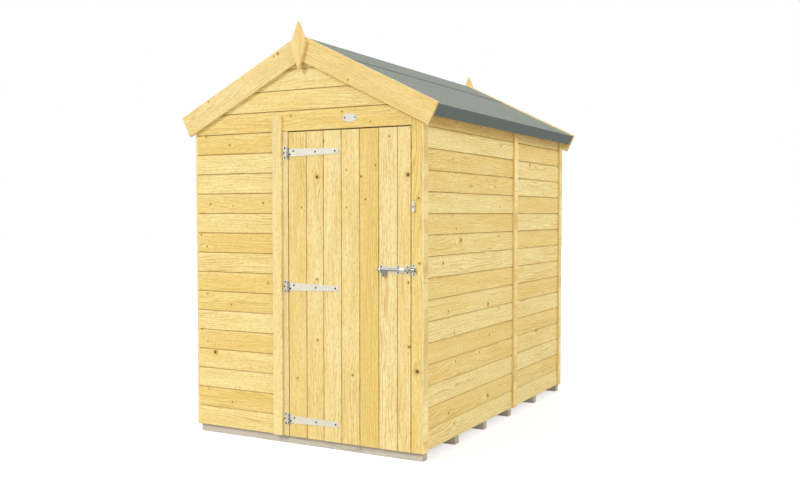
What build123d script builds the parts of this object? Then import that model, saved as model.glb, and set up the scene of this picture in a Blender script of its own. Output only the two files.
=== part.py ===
"""A small apex garden shed in pressure-treated softwood.

Two gable walls and two side walls, each of horizontal boards nailed to a frame, stand on a
boarded floor over six bearers. A felted roof with bargeboards and finials closes the top, and a
ledged and braced door hangs on three T-hinges at the front, held by a pad bolt and a turn button.

Frame: the origin is the centre of the footprint on the ground, +X is to the right seen from the
front, +Y runs to the rear and +Z is up. Sizes are in millimetres.
The door is shut at rest, with its bolt drawn and its turn button upright, so that it can be opened.
"""

import os
from math import cos, radians, sin, tan

from build123d import *

# Overall sizes of the walls
WALL_WIDTH = 1458  # over the cover strips on both sides
WALL_DEPTH = 2158  # over the front and rear boards
BOARD_COVER = 110  # height that one wall board covers
BOARDS_TO_DOOR_HEAD = 15
BOARD = 12  # thickness of wall, floor, roof and door boards

# Base
BEARER_HEIGHT = 44
BEARER_WIDTH = 47
BASE_SETBACK = 18  # from the wall faces to the bearers and the floor at front and rear
FLOOR_FRONT_LENGTH = 1191  # from the floor's front edge to the bearer under its joint
FRONT_BAYS = 3
REAR_BAYS = 2

# Wall frames
FRAME_DEPTH = 28
FRAME_WIDTH = 44
WALL_PANEL_JOINT = 1270  # from the front face to the joint between the two side wall panels

# Cover strips
STRIP = 14
CORNER_STRIP_WIDTH = 50
JOINT_STRIP_WIDTH = 56
FRONT_STRIP_WIDTH = 57
FRONT_STRIP_RISE = 88  # that the strip beside the hinges stands above the door head

# Roof
PITCH = 26.25
EAVES_ABOVE_HEAD = 128.5  # from the door head to the roof boards' underside at the side walls
EAVES_OVERHANG = 102  # of the felt past the side walls, along the slope
FELT = 2.5
FELT_TURNDOWN = 67
RIDGE_FELT_SLOPE = 300
EAVE_RAIL_WIDTH = 28
EAVE_RAIL_DEPTH = 50
RIDGE_BEAM_WIDTH = 28
RIDGE_BEAM_DEPTH = 70
PURLIN_WIDTH = 44
PURLIN_DEPTH = 28

# Bargeboards and finials
BARGE = 16
BARGE_WIDTH = 123
BARGE_PAST_FELT = 6  # along the slope
BARGE_RISE = 6  # that the bargeboard stands above the felt, square to the slope
FINIAL = 17
FINIAL_WIDTH = 96
FINIAL_TIP_RISE = 67  # above the bargeboards' peak
FINIAL_POINT = 112  # from the tip down to the widest place
FINIAL_TAIL = 149  # from the widest place down to the lower point
FINIAL_ROUND = 25

# Doorway and door
JAMB_BOARD_WIDTH = 56
HINGE_BOARD_WIDTH = 65
DOOR_WIDTH = 741
DOOR_GAP = 5
LEDGE = 18
LEDGE_WIDTH = 95
LEDGE_CHAMFER = 5
LEDGE_INSET_HINGE = 25
LEDGE_INSET_LATCH = 28
BRACE_WIDTH = 70
STOP_WIDTH = 18
STOP_GAP = 5
SCREW_HOLE = 4.5

# T-hinges
HINGE_PLATE = 2.5
HINGE_BARREL = 11
HINGE_PIN = 5
PIN_PROUD = 1.5
HINGE_CLEARANCE = 0.3
BARREL_CLEARANCE = 1  # between the barrel and the plates beside it
LOWER_HINGE = 94  # from the foot of the door to the strap's centre line
UPPER_HINGE = 109  # from the top of the door to the strap's centre line
KNUCKLE = 19
KNUCKLE_GAP = 0.5
BUTT_WEB = 13
BUTT_LOBE = 24
BUTT_LOBE_INSET = 14
BUTT_MIDDLE_LOBE = 20
BUTT_MIDDLE_INSET = 20
BUTT_SCREW_SPREAD = 50
BUTT_STRIP_GAP = 3
STRAP_LENGTH = 318
STRAP_ROOT = 44
STRAP_TIP = 29
STRAP_SCREWS = ((10, -10), (33, 8), (173, 0), (296, 0))  # along the strap and up from its centre

# Pad bolt, with places measured from the latch edge of the door
BOLT_HEIGHT = 925  # of the rod above the foot of the door
BOLT_PLATE = 2
BOLT_PLATE_LENGTH = 174
BOLT_PLATE_INSET = 4
BOLT_PLATE_WIDTH = 34
BOLT_LUG = 19
BOLT_LUG_SPACING = 30
BOLT_LUG_PLACES = (167, 70, 15)
ROD = 12
ROD_CLEARANCE = 0.5
ROD_LENGTH = 184
ROD_TIP_DRAWN = 5
BOLT_THROW = 34
STAPLE = 3
GUIDE_STAPLES = ((170, 8), (42, 28))  # place and width of each
HASP_PLACE = 149
HASP_WIDTH = 24
HASP_DROP = 25
HASP = 4
HASP_HOLE = 12
KEEP_CLEARANCE = 1.5
KEEP_STAPLE_WIDTH = 18
KEEP_WIDTH = 24
KEEP_HEIGHT = 66
KEEP_SCREW_SPREAD = 46
KEEP_INSET = 3

# Turn button
BUTTON_HEIGHT = 1243
BUTTON_INSET = 13
BUTTON_LENGTH = 54
BUTTON_WIDTH = 16
BUTTON = 2.5
BUTTON_STANDOFF = 5
BUTTON_BOSS = 10

# Oval plate over the door
PLATE_OFFSET = 301  # from the ridge line
PLATE_RISE = 55  # of its centre above the door head
PLATE_WIDTH = 84
PLATE_HEIGHT = 45
PLATE = 1.5
PLATE_SCREW_SPREAD = 62

# Worked out from the sizes above
half_width = WALL_WIDTH / 2
half_depth = WALL_DEPTH / 2
side_face = half_width - STRIP
side_back = side_face - BOARD
side_inside = side_back - FRAME_DEPTH
end_back = half_depth - BOARD
end_inside = end_back - FRAME_DEPTH
base = BEARER_HEIGHT
floor_top = base + BOARD
rail_top = floor_top + FRAME_WIDTH
door_head = base + BOARDS_TO_DOOR_HEAD * BOARD_COVER
panel_joint = WALL_PANEL_JOINT - half_depth

jamb_edge = side_face - JAMB_BOARD_WIDTH
door_latch = jamb_edge - DOOR_GAP
door_hinge = door_latch - DOOR_WIDTH
hinge_board_edge = door_hinge - DOOR_GAP
front_left_edge = hinge_board_edge - HINGE_BOARD_WIDTH
leaf_top = door_head - DOOR_GAP

slope = radians(PITCH)
deck_top = 2 * FELT
deck_underside = deck_top + BOARD
gable_rail_depth = deck_underside + FRAME_WIDTH
roof_top = door_head + EAVES_ABOVE_HEAD + side_face * tan(slope) + deck_underside / cos(slope)
felt_slope = side_face / cos(slope) + EAVES_OVERHANG
deck_slope = felt_slope - FELT
barge_slope = felt_slope + BARGE_PAST_FELT
purlin_place = (felt_slope - PURLIN_WIDTH) / 2


def roof_height(x: float, depth: float) -> float:
    """Height of the roof surface that lies depth below the top felt, square to the slope."""
    return roof_top - depth / cos(slope) - abs(x) * tan(slope)


def on_slope(along: float, depth: float) -> tuple[float, float]:
    """Place in the XZ plane, along the right-hand slope from the ridge and square down from it."""
    return (along * cos(slope) - depth * sin(slope), roof_top - along * sin(slope) - depth * cos(slope))


def facing_front(y: float) -> Plane:
    """A plane at y that faces the front, with its X to the right and its Y up."""
    return Plane.XZ.offset(-y)


def save(piece: Part, name: str) -> None:
    """Names a finished piece and writes it as a STEP file."""
    piece.label = name
    export_step(piece, f"parts/{name}.step")


os.makedirs("parts", exist_ok=True)

# Base: bearers in even bays under each of the two lengths of floor
first_bearer = -half_depth + BASE_SETBACK + BEARER_WIDTH / 2
last_bearer = half_depth - BASE_SETBACK - BEARER_WIDTH / 2
floor_joint = -half_depth + BASE_SETBACK + FLOOR_FRONT_LENGTH
front_bay = (floor_joint - first_bearer) / FRONT_BAYS
rear_bay = (last_bearer - floor_joint) / REAR_BAYS
bearer_places = [first_bearer + i * front_bay for i in range(FRONT_BAYS + 1)]
bearer_places += [floor_joint + (i + 1) * rear_bay for i in range(REAR_BAYS)]

with BuildPart() as bearers:
    with BuildSketch(Plane.XY):
        with Locations(*[(0, y) for y in bearer_places]):
            Rectangle(2 * side_face, BEARER_WIDTH)
    extrude(amount=BEARER_HEIGHT)
save(bearers.part, "bearers")

with BuildPart() as floor_boards:
    with BuildSketch(Plane.XY.offset(base)):
        Rectangle(2 * side_back, 2 * (half_depth - BASE_SETBACK))
    extrude(amount=BOARD)
save(floor_boards.part, "floor_boards")

# Front wall: boards left of the door, the upright boards on each side of it and the gable over it
with BuildPart() as front_wall_left:
    with BuildSketch(facing_front(-half_depth)):
        Polygon(
            (-side_face, base),
            (front_left_edge, base),
            (front_left_edge, door_head),
            (-side_face, door_head),
            align=None,
        )
    extrude(amount=-BOARD)
save(front_wall_left.part, "front_wall_left")

with BuildPart() as hinge_board:
    with BuildSketch(facing_front(-half_depth)):
        Polygon(
            (front_left_edge, base),
            (hinge_board_edge, base),
            (hinge_board_edge, door_head),
            (front_left_edge, door_head),
            align=None,
        )
    extrude(amount=-BOARD)
save(hinge_board.part, "hinge_board")

with BuildPart() as jamb_board:
    with BuildSketch(facing_front(-half_depth)):
        Polygon(
            (jamb_edge, base),
            (side_face, base),
            (side_face, roof_height(side_face, deck_underside)),
            (jamb_edge, roof_height(jamb_edge, deck_underside)),
            align=None,
        )
    extrude(amount=-BOARD)
save(jamb_board.part, "jamb_board")

with BuildPart() as front_gable:
    with BuildSketch(facing_front(-half_depth)):
        Polygon(
            (-side_face, door_head),
            (jamb_edge, door_head),
            (jamb_edge, roof_height(jamb_edge, deck_underside)),
            (0, roof_height(0, deck_underside)),
            (-side_face, roof_height(side_face, deck_underside)),
            align=None,
        )
    extrude(amount=-BOARD)
save(front_gable.part, "front_gable")

# Rear wall, boarded from the base to the roof
with BuildPart() as rear_wall:
    with BuildSketch(facing_front(end_back)):
        Polygon(
            (-side_face, base),
            (side_face, base),
            (side_face, roof_height(side_face, deck_underside)),
            (0, roof_height(0, deck_underside)),
            (-side_face, roof_height(side_face, deck_underside)),
            align=None,
        )
    extrude(amount=-BOARD)
save(rear_wall.part, "rear_wall")

# Side walls, two boarded panels a side, with their tops cut to the slope
panel_ends = {"front": (-end_back, panel_joint), "rear": (panel_joint, end_back)}
for side, hand in (("left", -1), ("right", 1)):
    for place, (start, end) in panel_ends.items():
        with BuildPart() as side_wall:
            with BuildSketch(facing_front(start)):
                Polygon(
                    (hand * side_back, base),
                    (hand * side_face, base),
                    (hand * side_face, roof_height(side_face, deck_underside)),
                    (hand * side_back, roof_height(side_back, deck_underside)),
                    align=None,
                )
            extrude(amount=start - end)
        save(side_wall.part, f"{side}_wall_{place}")

# Side frames: rails along the floor and under the roof, with studs between them
side_rail_bottom = roof_height(side_back, deck_underside) - FRAME_WIDTH
with BuildPart() as side_frame_rails:
    with BuildSketch(facing_front(-end_inside)):
        Polygon(
            (side_inside, floor_top),
            (side_back, floor_top),
            (side_back, rail_top),
            (side_inside, rail_top),
            align=None,
        )
        Polygon(
            (side_inside, side_rail_bottom),
            (side_back, side_rail_bottom),
            (side_back, roof_height(side_back, deck_underside)),
            (side_inside, roof_height(side_inside, deck_underside)),
            align=None,
        )
    extrude(amount=-2 * end_inside)
    mirror(about=Plane.YZ)
save(side_frame_rails.part, "side_frame_rails")

end_stud = end_inside - FRAME_WIDTH / 2
stud_places = [
    -end_stud,
    (panel_joint - end_stud) / 2,
    panel_joint,
    (panel_joint + end_stud) / 2,
    end_stud,
]
with BuildPart() as side_frame_studs:
    with BuildSketch(Plane.XY.offset(rail_top)):
        with Locations(*[(side_back - FRAME_DEPTH / 2, y) for y in stud_places]):
            Rectangle(FRAME_DEPTH, FRAME_WIDTH)
    extrude(amount=side_rail_bottom - rail_top)
    mirror(about=Plane.YZ)
save(side_frame_studs.part, "side_frame_studs")

# Gable frames: corner studs run up to the sloping rails, with the other rails between them
corner_stud = side_back - FRAME_WIDTH
ridge_half = RIDGE_BEAM_WIDTH / 2
hinge_post = hinge_board_edge - FRAME_WIDTH
head_rail_top = door_head + FRAME_WIDTH
bottom_rail_ends = {"front": hinge_post, "rear": corner_stud}

for end, frame_front in (("front", -end_back), ("rear", end_inside)):
    with BuildPart() as frame_studs:
        with BuildSketch(facing_front(frame_front)):
            Polygon(
                (corner_stud, floor_top),
                (side_back, floor_top),
                (side_back, roof_height(side_back, gable_rail_depth)),
                (corner_stud, roof_height(corner_stud, gable_rail_depth)),
                align=None,
            )
            mirror(about=Plane.YZ)
            if end == "front":
                Polygon(
                    (hinge_post, floor_top),
                    (hinge_board_edge, floor_top),
                    (hinge_board_edge, door_head),
                    (hinge_post, door_head),
                    align=None,
                )
            else:
                with Locations((0, (rail_top + door_head) / 2)):
                    Rectangle(FRAME_WIDTH, door_head - rail_top)
        extrude(amount=-FRAME_DEPTH)
    save(frame_studs.part, f"{end}_frame_studs")

    with BuildPart() as frame_rails:
        with BuildSketch(facing_front(frame_front)):
            Polygon(
                (ridge_half, roof_height(ridge_half, deck_underside)),
                (side_back, roof_height(side_back, deck_underside)),
                (side_back, roof_height(side_back, gable_rail_depth)),
                (ridge_half, roof_height(ridge_half, gable_rail_depth)),
                align=None,
            )
            mirror(about=Plane.YZ)
            Polygon(
                (-corner_stud, door_head),
                (corner_stud, door_head),
                (corner_stud, head_rail_top),
                (-corner_stud, head_rail_top),
                align=None,
            )
            Polygon(
                (-corner_stud, floor_top),
                (bottom_rail_ends[end], floor_top),
                (bottom_rail_ends[end], rail_top),
                (-corner_stud, rail_top),
                align=None,
            )
        extrude(amount=-FRAME_DEPTH)
    save(frame_rails.part, f"{end}_frame_rails")

# Door stop on the latch post
stop_front = -end_back + STOP_GAP
with BuildPart() as door_stop:
    with BuildSketch(facing_front(stop_front)):
        Polygon(
            (corner_stud - STOP_WIDTH, floor_top),
            (corner_stud, floor_top),
            (corner_stud, door_head),
            (corner_stud - STOP_WIDTH, door_head),
            align=None,
        )
    extrude(amount=stop_front + end_inside)
save(door_stop.part, "door_stop")

# Cover strips on the side walls: one at each corner and one over each panel joint
side_strips = [
    (-half_depth, CORNER_STRIP_WIDTH),
    (panel_joint - JOINT_STRIP_WIDTH / 2, JOINT_STRIP_WIDTH),
    (half_depth - CORNER_STRIP_WIDTH, CORNER_STRIP_WIDTH),
]
with BuildPart() as side_cover_strips:
    for start, width in side_strips:
        with BuildSketch(facing_front(start)):
            Polygon(
                (side_face, base),
                (half_width, base),
                (half_width, roof_height(half_width, deck_underside)),
                (side_face, roof_height(side_face, deck_underside)),
                align=None,
            )
        extrude(amount=-width)
    mirror(about=Plane.YZ)
save(side_cover_strips.part, "side_cover_strips")

# Ridge beam, purlins and the rails that stiffen the eaves
beam_underside = roof_height(0, deck_underside) - RIDGE_BEAM_DEPTH
with BuildPart() as ridge_beam:
    with BuildSketch(facing_front(-end_back)):
        Polygon(
            (-ridge_half, beam_underside),
            (ridge_half, beam_underside),
            (ridge_half, roof_height(ridge_half, deck_underside)),
            (0, roof_height(0, deck_underside)),
            (-ridge_half, roof_height(ridge_half, deck_underside)),
            align=None,
        )
    extrude(amount=-2 * end_back)
save(ridge_beam.part, "ridge_beam")

with BuildPart() as purlins:
    with BuildSketch(facing_front(-end_inside)):
        Polygon(
            on_slope(purlin_place, deck_underside),
            on_slope(purlin_place + PURLIN_WIDTH, deck_underside),
            on_slope(purlin_place + PURLIN_WIDTH, deck_underside + PURLIN_DEPTH),
            on_slope(purlin_place, deck_underside + PURLIN_DEPTH),
            align=None,
        )
    extrude(amount=-2 * end_inside)
    mirror(about=Plane.YZ)
save(purlins.part, "purlins")

with BuildPart() as eave_rails:
    with BuildSketch(facing_front(-half_depth)):
        Polygon(
            on_slope(deck_slope - EAVE_RAIL_WIDTH, deck_underside),
            on_slope(deck_slope, deck_underside),
            on_slope(deck_slope, deck_underside + EAVE_RAIL_DEPTH),
            on_slope(deck_slope - EAVE_RAIL_WIDTH, deck_underside + EAVE_RAIL_DEPTH),
            align=None,
        )
    extrude(amount=-WALL_DEPTH)
    mirror(about=Plane.YZ)
save(eave_rails.part, "eave_rails")

# Roof boards, felt and the felt over the ridge, each side cut upright at the ridge
roof_layers = {
    "roof_boards": (deck_top, deck_underside, deck_slope),
    "roof_felt": (FELT, deck_top, felt_slope),
    "ridge_felt": (0, FELT, RIDGE_FELT_SLOPE),
}
for layer, (top, bottom, length) in roof_layers.items():
    for side in ("left", "right"):
        with BuildPart() as roof_layer:
            with BuildSketch(facing_front(-half_depth)):
                Polygon(
                    (0, roof_height(0, top)),
                    on_slope(length, top),
                    on_slope(length, bottom),
                    (0, roof_height(0, bottom)),
                    align=None,
                )
            extrude(amount=-WALL_DEPTH)
            if side == "left":
                mirror(about=Plane.YZ, mode=Mode.REPLACE)
        save(roof_layer.part, f"{layer}_{side}")

# The felt turned down over the eaves
with BuildPart() as felt_edges:
    with BuildSketch(facing_front(-half_depth)):
        Polygon(
            on_slope(deck_slope, deck_top),
            on_slope(felt_slope, deck_top),
            on_slope(felt_slope, FELT_TURNDOWN),
            on_slope(deck_slope, FELT_TURNDOWN),
            align=None,
        )
    extrude(amount=-WALL_DEPTH)
    mirror(about=Plane.YZ)
save(felt_edges.part, "felt_edges")

# Bargeboards, square at the eaves and cut upright where the two sides meet
for side in ("left", "right"):
    with BuildPart() as bargeboards:
        for outer_face in (-half_depth - BARGE, half_depth):
            with BuildSketch(facing_front(outer_face)):
                Polygon(
                    (0, roof_height(0, -BARGE_RISE)),
                    on_slope(barge_slope, -BARGE_RISE),
                    on_slope(barge_slope, BARGE_WIDTH - BARGE_RISE),
                    (0, roof_height(0, BARGE_WIDTH - BARGE_RISE)),
                    align=None,
                )
            extrude(amount=-BARGE)
        if side == "left":
            mirror(about=Plane.YZ, mode=Mode.REPLACE)
    save(bargeboards.part, f"bargeboards_{side}")

# Finials: kite-shaped boards over the bargeboard joints, with their widest corners rounded
finial_tip = roof_height(0, -BARGE_RISE) + FINIAL_TIP_RISE
finial_shoulder = finial_tip - FINIAL_POINT
with BuildPart() as finials:
    for outer_face in (-half_depth - BARGE - FINIAL, half_depth + BARGE):
        with BuildSketch(facing_front(outer_face)) as kite:
            Polygon(
                (0, finial_shoulder - FINIAL_TAIL),
                (FINIAL_WIDTH / 2, finial_shoulder),
                (0, finial_tip),
                (-FINIAL_WIDTH / 2, finial_shoulder),
                align=None,
            )
            corners = kite.vertices().sort_by(Axis.X)
            fillet([corners[0], corners[-1]], FINIAL_ROUND)
        extrude(amount=-FINIAL)
save(finials.part, "finials")

# Oval plate over the door, bare, with a screw hole at each end
with BuildPart() as oval_plate:
    with BuildSketch(facing_front(-half_depth)):
        with Locations((PLATE_OFFSET, door_head + PLATE_RISE)):
            Ellipse(PLATE_WIDTH / 2, PLATE_HEIGHT / 2)
            with GridLocations(PLATE_SCREW_SPREAD, 0, 2, 1):
                Circle(SCREW_HOLE / 2, mode=Mode.SUBTRACT)
    extrude(amount=PLATE)
save(oval_plate.part, "oval_plate")

# Door leaf, ledges and braces
with BuildPart() as door_leaf:
    with BuildSketch(facing_front(-half_depth)):
        Polygon(
            (door_hinge, base),
            (door_latch, base),
            (door_latch, leaf_top),
            (door_hinge, leaf_top),
            align=None,
        )
    extrude(amount=-BOARD)
save(door_leaf.part, "door_leaf")

ledge_start = door_hinge + LEDGE_INSET_HINGE
ledge_end = door_latch - LEDGE_INSET_LATCH
lower_hinge = base + LOWER_HINGE
upper_hinge = leaf_top - UPPER_HINGE
hinge_heights = [lower_hinge, (lower_hinge + upper_hinge) / 2, upper_hinge]

with BuildPart() as door_ledges:
    with BuildSketch(facing_front(-end_back)):
        with Locations(*[((ledge_start + ledge_end) / 2, z) for z in hinge_heights]):
            Rectangle(ledge_end - ledge_start, LEDGE_WIDTH)
    extrude(amount=-LEDGE)
    chamfer(door_ledges.edges().filter_by(Axis.X).group_by(Axis.Y)[-1], LEDGE_CHAMFER)
save(door_ledges.part, "door_ledges")

# Each brace climbs away from the hinge side, from one ledge to the next
with BuildPart() as door_braces:
    with BuildSketch(facing_front(-end_back)):
        for lower, upper in zip(hinge_heights, hinge_heights[1:]):
            foot = lower + LEDGE_WIDTH / 2
            head = upper - LEDGE_WIDTH / 2
            Polygon(
                (ledge_start, foot),
                (ledge_start + BRACE_WIDTH, foot),
                (ledge_end, head),
                (ledge_end - BRACE_WIDTH, head),
                align=None,
            )
    extrude(amount=-LEDGE)
save(door_braces.part, "door_braces")

# T-hinges. The butt has three screw lobes, the outer two knuckles and the pin, and the tapered
# strap has the middle knuckle.
hinge_axis_x = door_hinge - DOOR_GAP / 2
hinge_axis_y = -half_depth - HINGE_BARREL / 2
plate_middle_y = -half_depth - HINGE_PLATE / 2
butt_edge = hinge_axis_x - HINGE_BARREL / 2 - BARREL_CLEARANCE
strap_root = hinge_axis_x + HINGE_BARREL / 2 + BARREL_CLEARANCE
strap_end = door_hinge + STRAP_LENGTH
knuckle_step = KNUCKLE + KNUCKLE_GAP
barrel_length = 3 * KNUCKLE + 2 * KNUCKLE_GAP

with BuildPart() as hinge_butts:
    for z in hinge_heights:
        screws = [
            (butt_edge - BUTT_LOBE_INSET, z + BUTT_SCREW_SPREAD / 2),
            (butt_edge - BUTT_LOBE_INSET, z - BUTT_SCREW_SPREAD / 2),
        ]
        middle_screw = (butt_edge - BUTT_MIDDLE_INSET, z)
        with BuildSketch(facing_front(-half_depth)):
            with Locations((butt_edge - BUTT_WEB / 2, z)):
                Rectangle(BUTT_WEB, BUTT_SCREW_SPREAD)
            with Locations(*screws):
                Circle(BUTT_LOBE / 2)
            with Locations(middle_screw):
                Circle(BUTT_MIDDLE_LOBE / 2)
            with Locations(*screws, middle_screw):
                Circle(SCREW_HOLE / 2, mode=Mode.SUBTRACT)
        extrude(amount=HINGE_PLATE)
        for level in (z - knuckle_step, z + knuckle_step):
            with BuildSketch(Plane.XY.offset(level - KNUCKLE / 2)):
                with Locations((hinge_axis_x, hinge_axis_y)):
                    Circle(HINGE_BARREL / 2)
                with Locations(((hinge_axis_x + butt_edge) / 2, plate_middle_y)):
                    Rectangle(hinge_axis_x - butt_edge, HINGE_PLATE)
            extrude(amount=KNUCKLE)
        with BuildSketch(Plane.XY.offset(z - barrel_length / 2 - PIN_PROUD)):
            with Locations((hinge_axis_x, hinge_axis_y)):
                Circle(HINGE_PIN / 2)
        extrude(amount=barrel_length + 2 * PIN_PROUD)
save(hinge_butts.part, "hinge_butts")

with BuildPart() as hinge_straps:
    for z in hinge_heights:
        with BuildSketch(facing_front(-half_depth)):
            Polygon(
                (strap_root, z - STRAP_ROOT / 2),
                (strap_end - STRAP_TIP / 2, z - STRAP_TIP / 2),
                (strap_end - STRAP_TIP / 2, z + STRAP_TIP / 2),
                (strap_root, z + STRAP_ROOT / 2),
                align=None,
            )
            with Locations((strap_end - STRAP_TIP / 2, z)):
                Circle(STRAP_TIP / 2)
            with Locations(*[(door_hinge + along, z + up) for along, up in STRAP_SCREWS]):
                Circle(SCREW_HOLE / 2, mode=Mode.SUBTRACT)
        extrude(amount=HINGE_PLATE)
        with BuildSketch(Plane.XY.offset(z - KNUCKLE / 2)):
            with Locations((hinge_axis_x, hinge_axis_y)):
                Circle(HINGE_BARREL / 2)
            with Locations(((hinge_axis_x + strap_root) / 2, plate_middle_y)):
                Rectangle(strap_root - hinge_axis_x, HINGE_PLATE)
            with Locations((hinge_axis_x, hinge_axis_y)):
                Circle(HINGE_PIN / 2 + HINGE_CLEARANCE, mode=Mode.SUBTRACT)
        extrude(amount=KNUCKLE)
save(hinge_straps.part, "hinge_straps")

# The strip beside the hinges
front_strip_edge = butt_edge - BUTT_MIDDLE_INSET - BUTT_MIDDLE_LOBE / 2 - BUTT_STRIP_GAP
with BuildPart() as front_cover_strip:
    with BuildSketch(facing_front(-half_depth - STRIP)):
        Polygon(
            (front_strip_edge - FRONT_STRIP_WIDTH, base),
            (front_strip_edge, base),
            (front_strip_edge, door_head + FRONT_STRIP_RISE),
            (front_strip_edge - FRONT_STRIP_WIDTH, door_head + FRONT_STRIP_RISE),
            align=None,
        )
    extrude(amount=-STRIP)
save(front_cover_strip.part, "front_cover_strip")

# Pad bolt: the lugged plate with its staples, the rod and its hasp, and the keep on the jamb board
rod_z = base + BOLT_HEIGHT
plate_face = -half_depth - BOLT_PLATE
rod_y = plate_face - ROD_CLEARANCE - ROD / 2


def staple(start: float, width: float, clearance: float) -> None:
    """Adds a strap bent over the rod, with its legs on the plate, to the open part.

    Args:
        start: Where the strap begins along X.
        width: Its width along X.
        clearance: The room it leaves round the rod.
    """
    inner = ROD / 2 + clearance
    outer = inner + STAPLE
    leg = plate_face - rod_y
    with BuildSketch(Plane.YZ.offset(start), mode=Mode.PRIVATE) as bend:
        with Locations((rod_y, rod_z)):
            Circle(outer)
            with Locations((leg / 2, 0)):
                Rectangle(leg, 2 * outer)
            Circle(inner, mode=Mode.SUBTRACT)
            with Locations((leg / 2, 0)):
                Rectangle(leg, 2 * inner, mode=Mode.SUBTRACT)
            with Locations((leg + outer / 2, 0)):
                Rectangle(outer, 2 * outer, mode=Mode.SUBTRACT)
    extrude(bend.sketch, amount=width)


with BuildPart() as bolt_plate:
    with BuildSketch(facing_front(-half_depth)):
        with Locations((door_latch - BOLT_PLATE_INSET - BOLT_PLATE_LENGTH / 2, rod_z)):
            Rectangle(BOLT_PLATE_LENGTH, BOLT_PLATE_WIDTH)
        with Locations(*[(door_latch - place, rod_z) for place in BOLT_LUG_PLACES]):
            SlotOverall(BOLT_LUG_SPACING + BOLT_LUG, BOLT_LUG, rotation=90)
            with GridLocations(0, BOLT_LUG_SPACING, 1, 2):
                Circle(SCREW_HOLE / 2, mode=Mode.SUBTRACT)
    extrude(amount=BOLT_PLATE)
    for place, width in GUIDE_STAPLES:
        staple(door_latch - place - width / 2, width, ROD_CLEARANCE)
save(bolt_plate.part, "bolt_plate")

rod_tip = door_latch - ROD_TIP_DRAWN
with BuildPart() as bolt_rod:
    with BuildSketch(Plane.YZ.offset(rod_tip - ROD_LENGTH)):
        with Locations((rod_y, rod_z)):
            Circle(ROD / 2)
    extrude(amount=ROD_LENGTH)
save(bolt_rod.part, "bolt_rod")

# The hasp is a tab with an eye for a padlock, seated on the underside of the rod
hasp_x = door_latch - HASP_PLACE
with BuildPart() as bolt_hasp:
    with BuildSketch(facing_front(rod_y)):
        with Locations((hasp_x, rod_z - HASP_DROP / 2)):
            Rectangle(HASP_WIDTH, HASP_DROP)
        with Locations((hasp_x, rod_z - HASP_DROP)):
            Circle(HASP_WIDTH / 2)
            Circle(HASP_HOLE / 2, mode=Mode.SUBTRACT)
    extrude(amount=HASP / 2, both=True)
    with BuildSketch(Plane.YZ.offset(hasp_x)):
        with Locations((rod_y, rod_z)):
            Circle(ROD / 2)
    extrude(amount=HASP_WIDTH, both=True, mode=Mode.SUBTRACT)
save(bolt_hasp.part, "bolt_hasp")

keep_x = jamb_edge + KEEP_INSET + KEEP_WIDTH / 2
with BuildPart() as bolt_keep:
    with BuildSketch(facing_front(-half_depth)):
        with Locations((keep_x, rod_z)):
            SlotOverall(KEEP_HEIGHT, KEEP_WIDTH, rotation=90)
            with GridLocations(0, KEEP_SCREW_SPREAD, 1, 2):
                Circle(SCREW_HOLE / 2, mode=Mode.SUBTRACT)
    extrude(amount=BOLT_PLATE)
save(bolt_keep.part, "bolt_keep")

with BuildPart() as keep_staple:
    staple(keep_x - KEEP_STAPLE_WIDTH / 2, KEEP_STAPLE_WIDTH, KEEP_CLEARANCE)
save(keep_staple.part, "keep_staple")

# Turn button on the jamb board, upright at rest
button_x = jamb_edge + BUTTON_INSET
button_z = base + BUTTON_HEIGHT
with BuildPart() as turn_button:
    with BuildSketch(facing_front(-half_depth - BUTTON_STANDOFF)):
        with Locations((button_x, button_z)):
            SlotOverall(BUTTON_LENGTH, BUTTON_WIDTH, rotation=90)
    extrude(amount=BUTTON)
    with BuildSketch(facing_front(-half_depth)):
        with Locations((button_x, button_z)):
            Circle(BUTTON_BOSS / 2)
    extrude(amount=BUTTON_STANDOFF)
save(turn_button.part, "turn_button")
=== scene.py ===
"""Looks of a small apex garden shed in planed softwood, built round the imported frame.

Lengths are in metres in the frame's own axes: +X to the right seen from the front, +Y to the rear
and +Z up. Every timber mesh carries the place of its grain, its tone and its knots as attributes,
which the pine figure reads.
"""

import logging
import math
import random
from collections import defaultdict
from dataclasses import dataclass, field
from enum import Enum

import bmesh
import bpy
from mathutils import Euler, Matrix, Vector


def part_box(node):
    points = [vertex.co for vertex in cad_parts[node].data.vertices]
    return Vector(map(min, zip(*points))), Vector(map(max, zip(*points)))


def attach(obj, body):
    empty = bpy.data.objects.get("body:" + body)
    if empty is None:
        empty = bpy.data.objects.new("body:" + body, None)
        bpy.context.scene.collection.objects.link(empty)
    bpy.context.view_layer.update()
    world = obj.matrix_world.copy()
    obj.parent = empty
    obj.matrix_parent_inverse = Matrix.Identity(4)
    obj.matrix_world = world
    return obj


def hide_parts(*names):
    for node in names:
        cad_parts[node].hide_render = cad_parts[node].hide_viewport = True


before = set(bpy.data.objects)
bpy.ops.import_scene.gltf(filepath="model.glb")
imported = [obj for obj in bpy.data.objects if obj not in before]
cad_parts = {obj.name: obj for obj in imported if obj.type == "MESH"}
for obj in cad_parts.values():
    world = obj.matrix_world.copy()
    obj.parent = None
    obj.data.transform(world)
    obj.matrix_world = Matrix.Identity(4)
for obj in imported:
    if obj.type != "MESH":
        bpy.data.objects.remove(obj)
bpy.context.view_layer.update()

log = logging.getLogger("shed")

Draws = random.Random
Object = bpy.types.Object
Material = bpy.types.Material
Tree = bpy.types.NodeTree
Socket = bpy.types.NodeSocket
Shape = bmesh.types.BMesh
Loop = list[bmesh.types.BMVert]
Pair = tuple[float, float]
Screen = tuple[int, int, int]
Cuts = tuple[tuple[Vector, Vector], ...]
Spots = tuple[tuple[float, float, float], ...]

MM = 0.001
X_AXIS = Vector((1, 0, 0))
Y_AXIS = Vector((0, 1, 0))
Z_AXIS = Vector((0, 0, 1))
HANDS = ((-1, "left"), (1, "right"))
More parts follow.
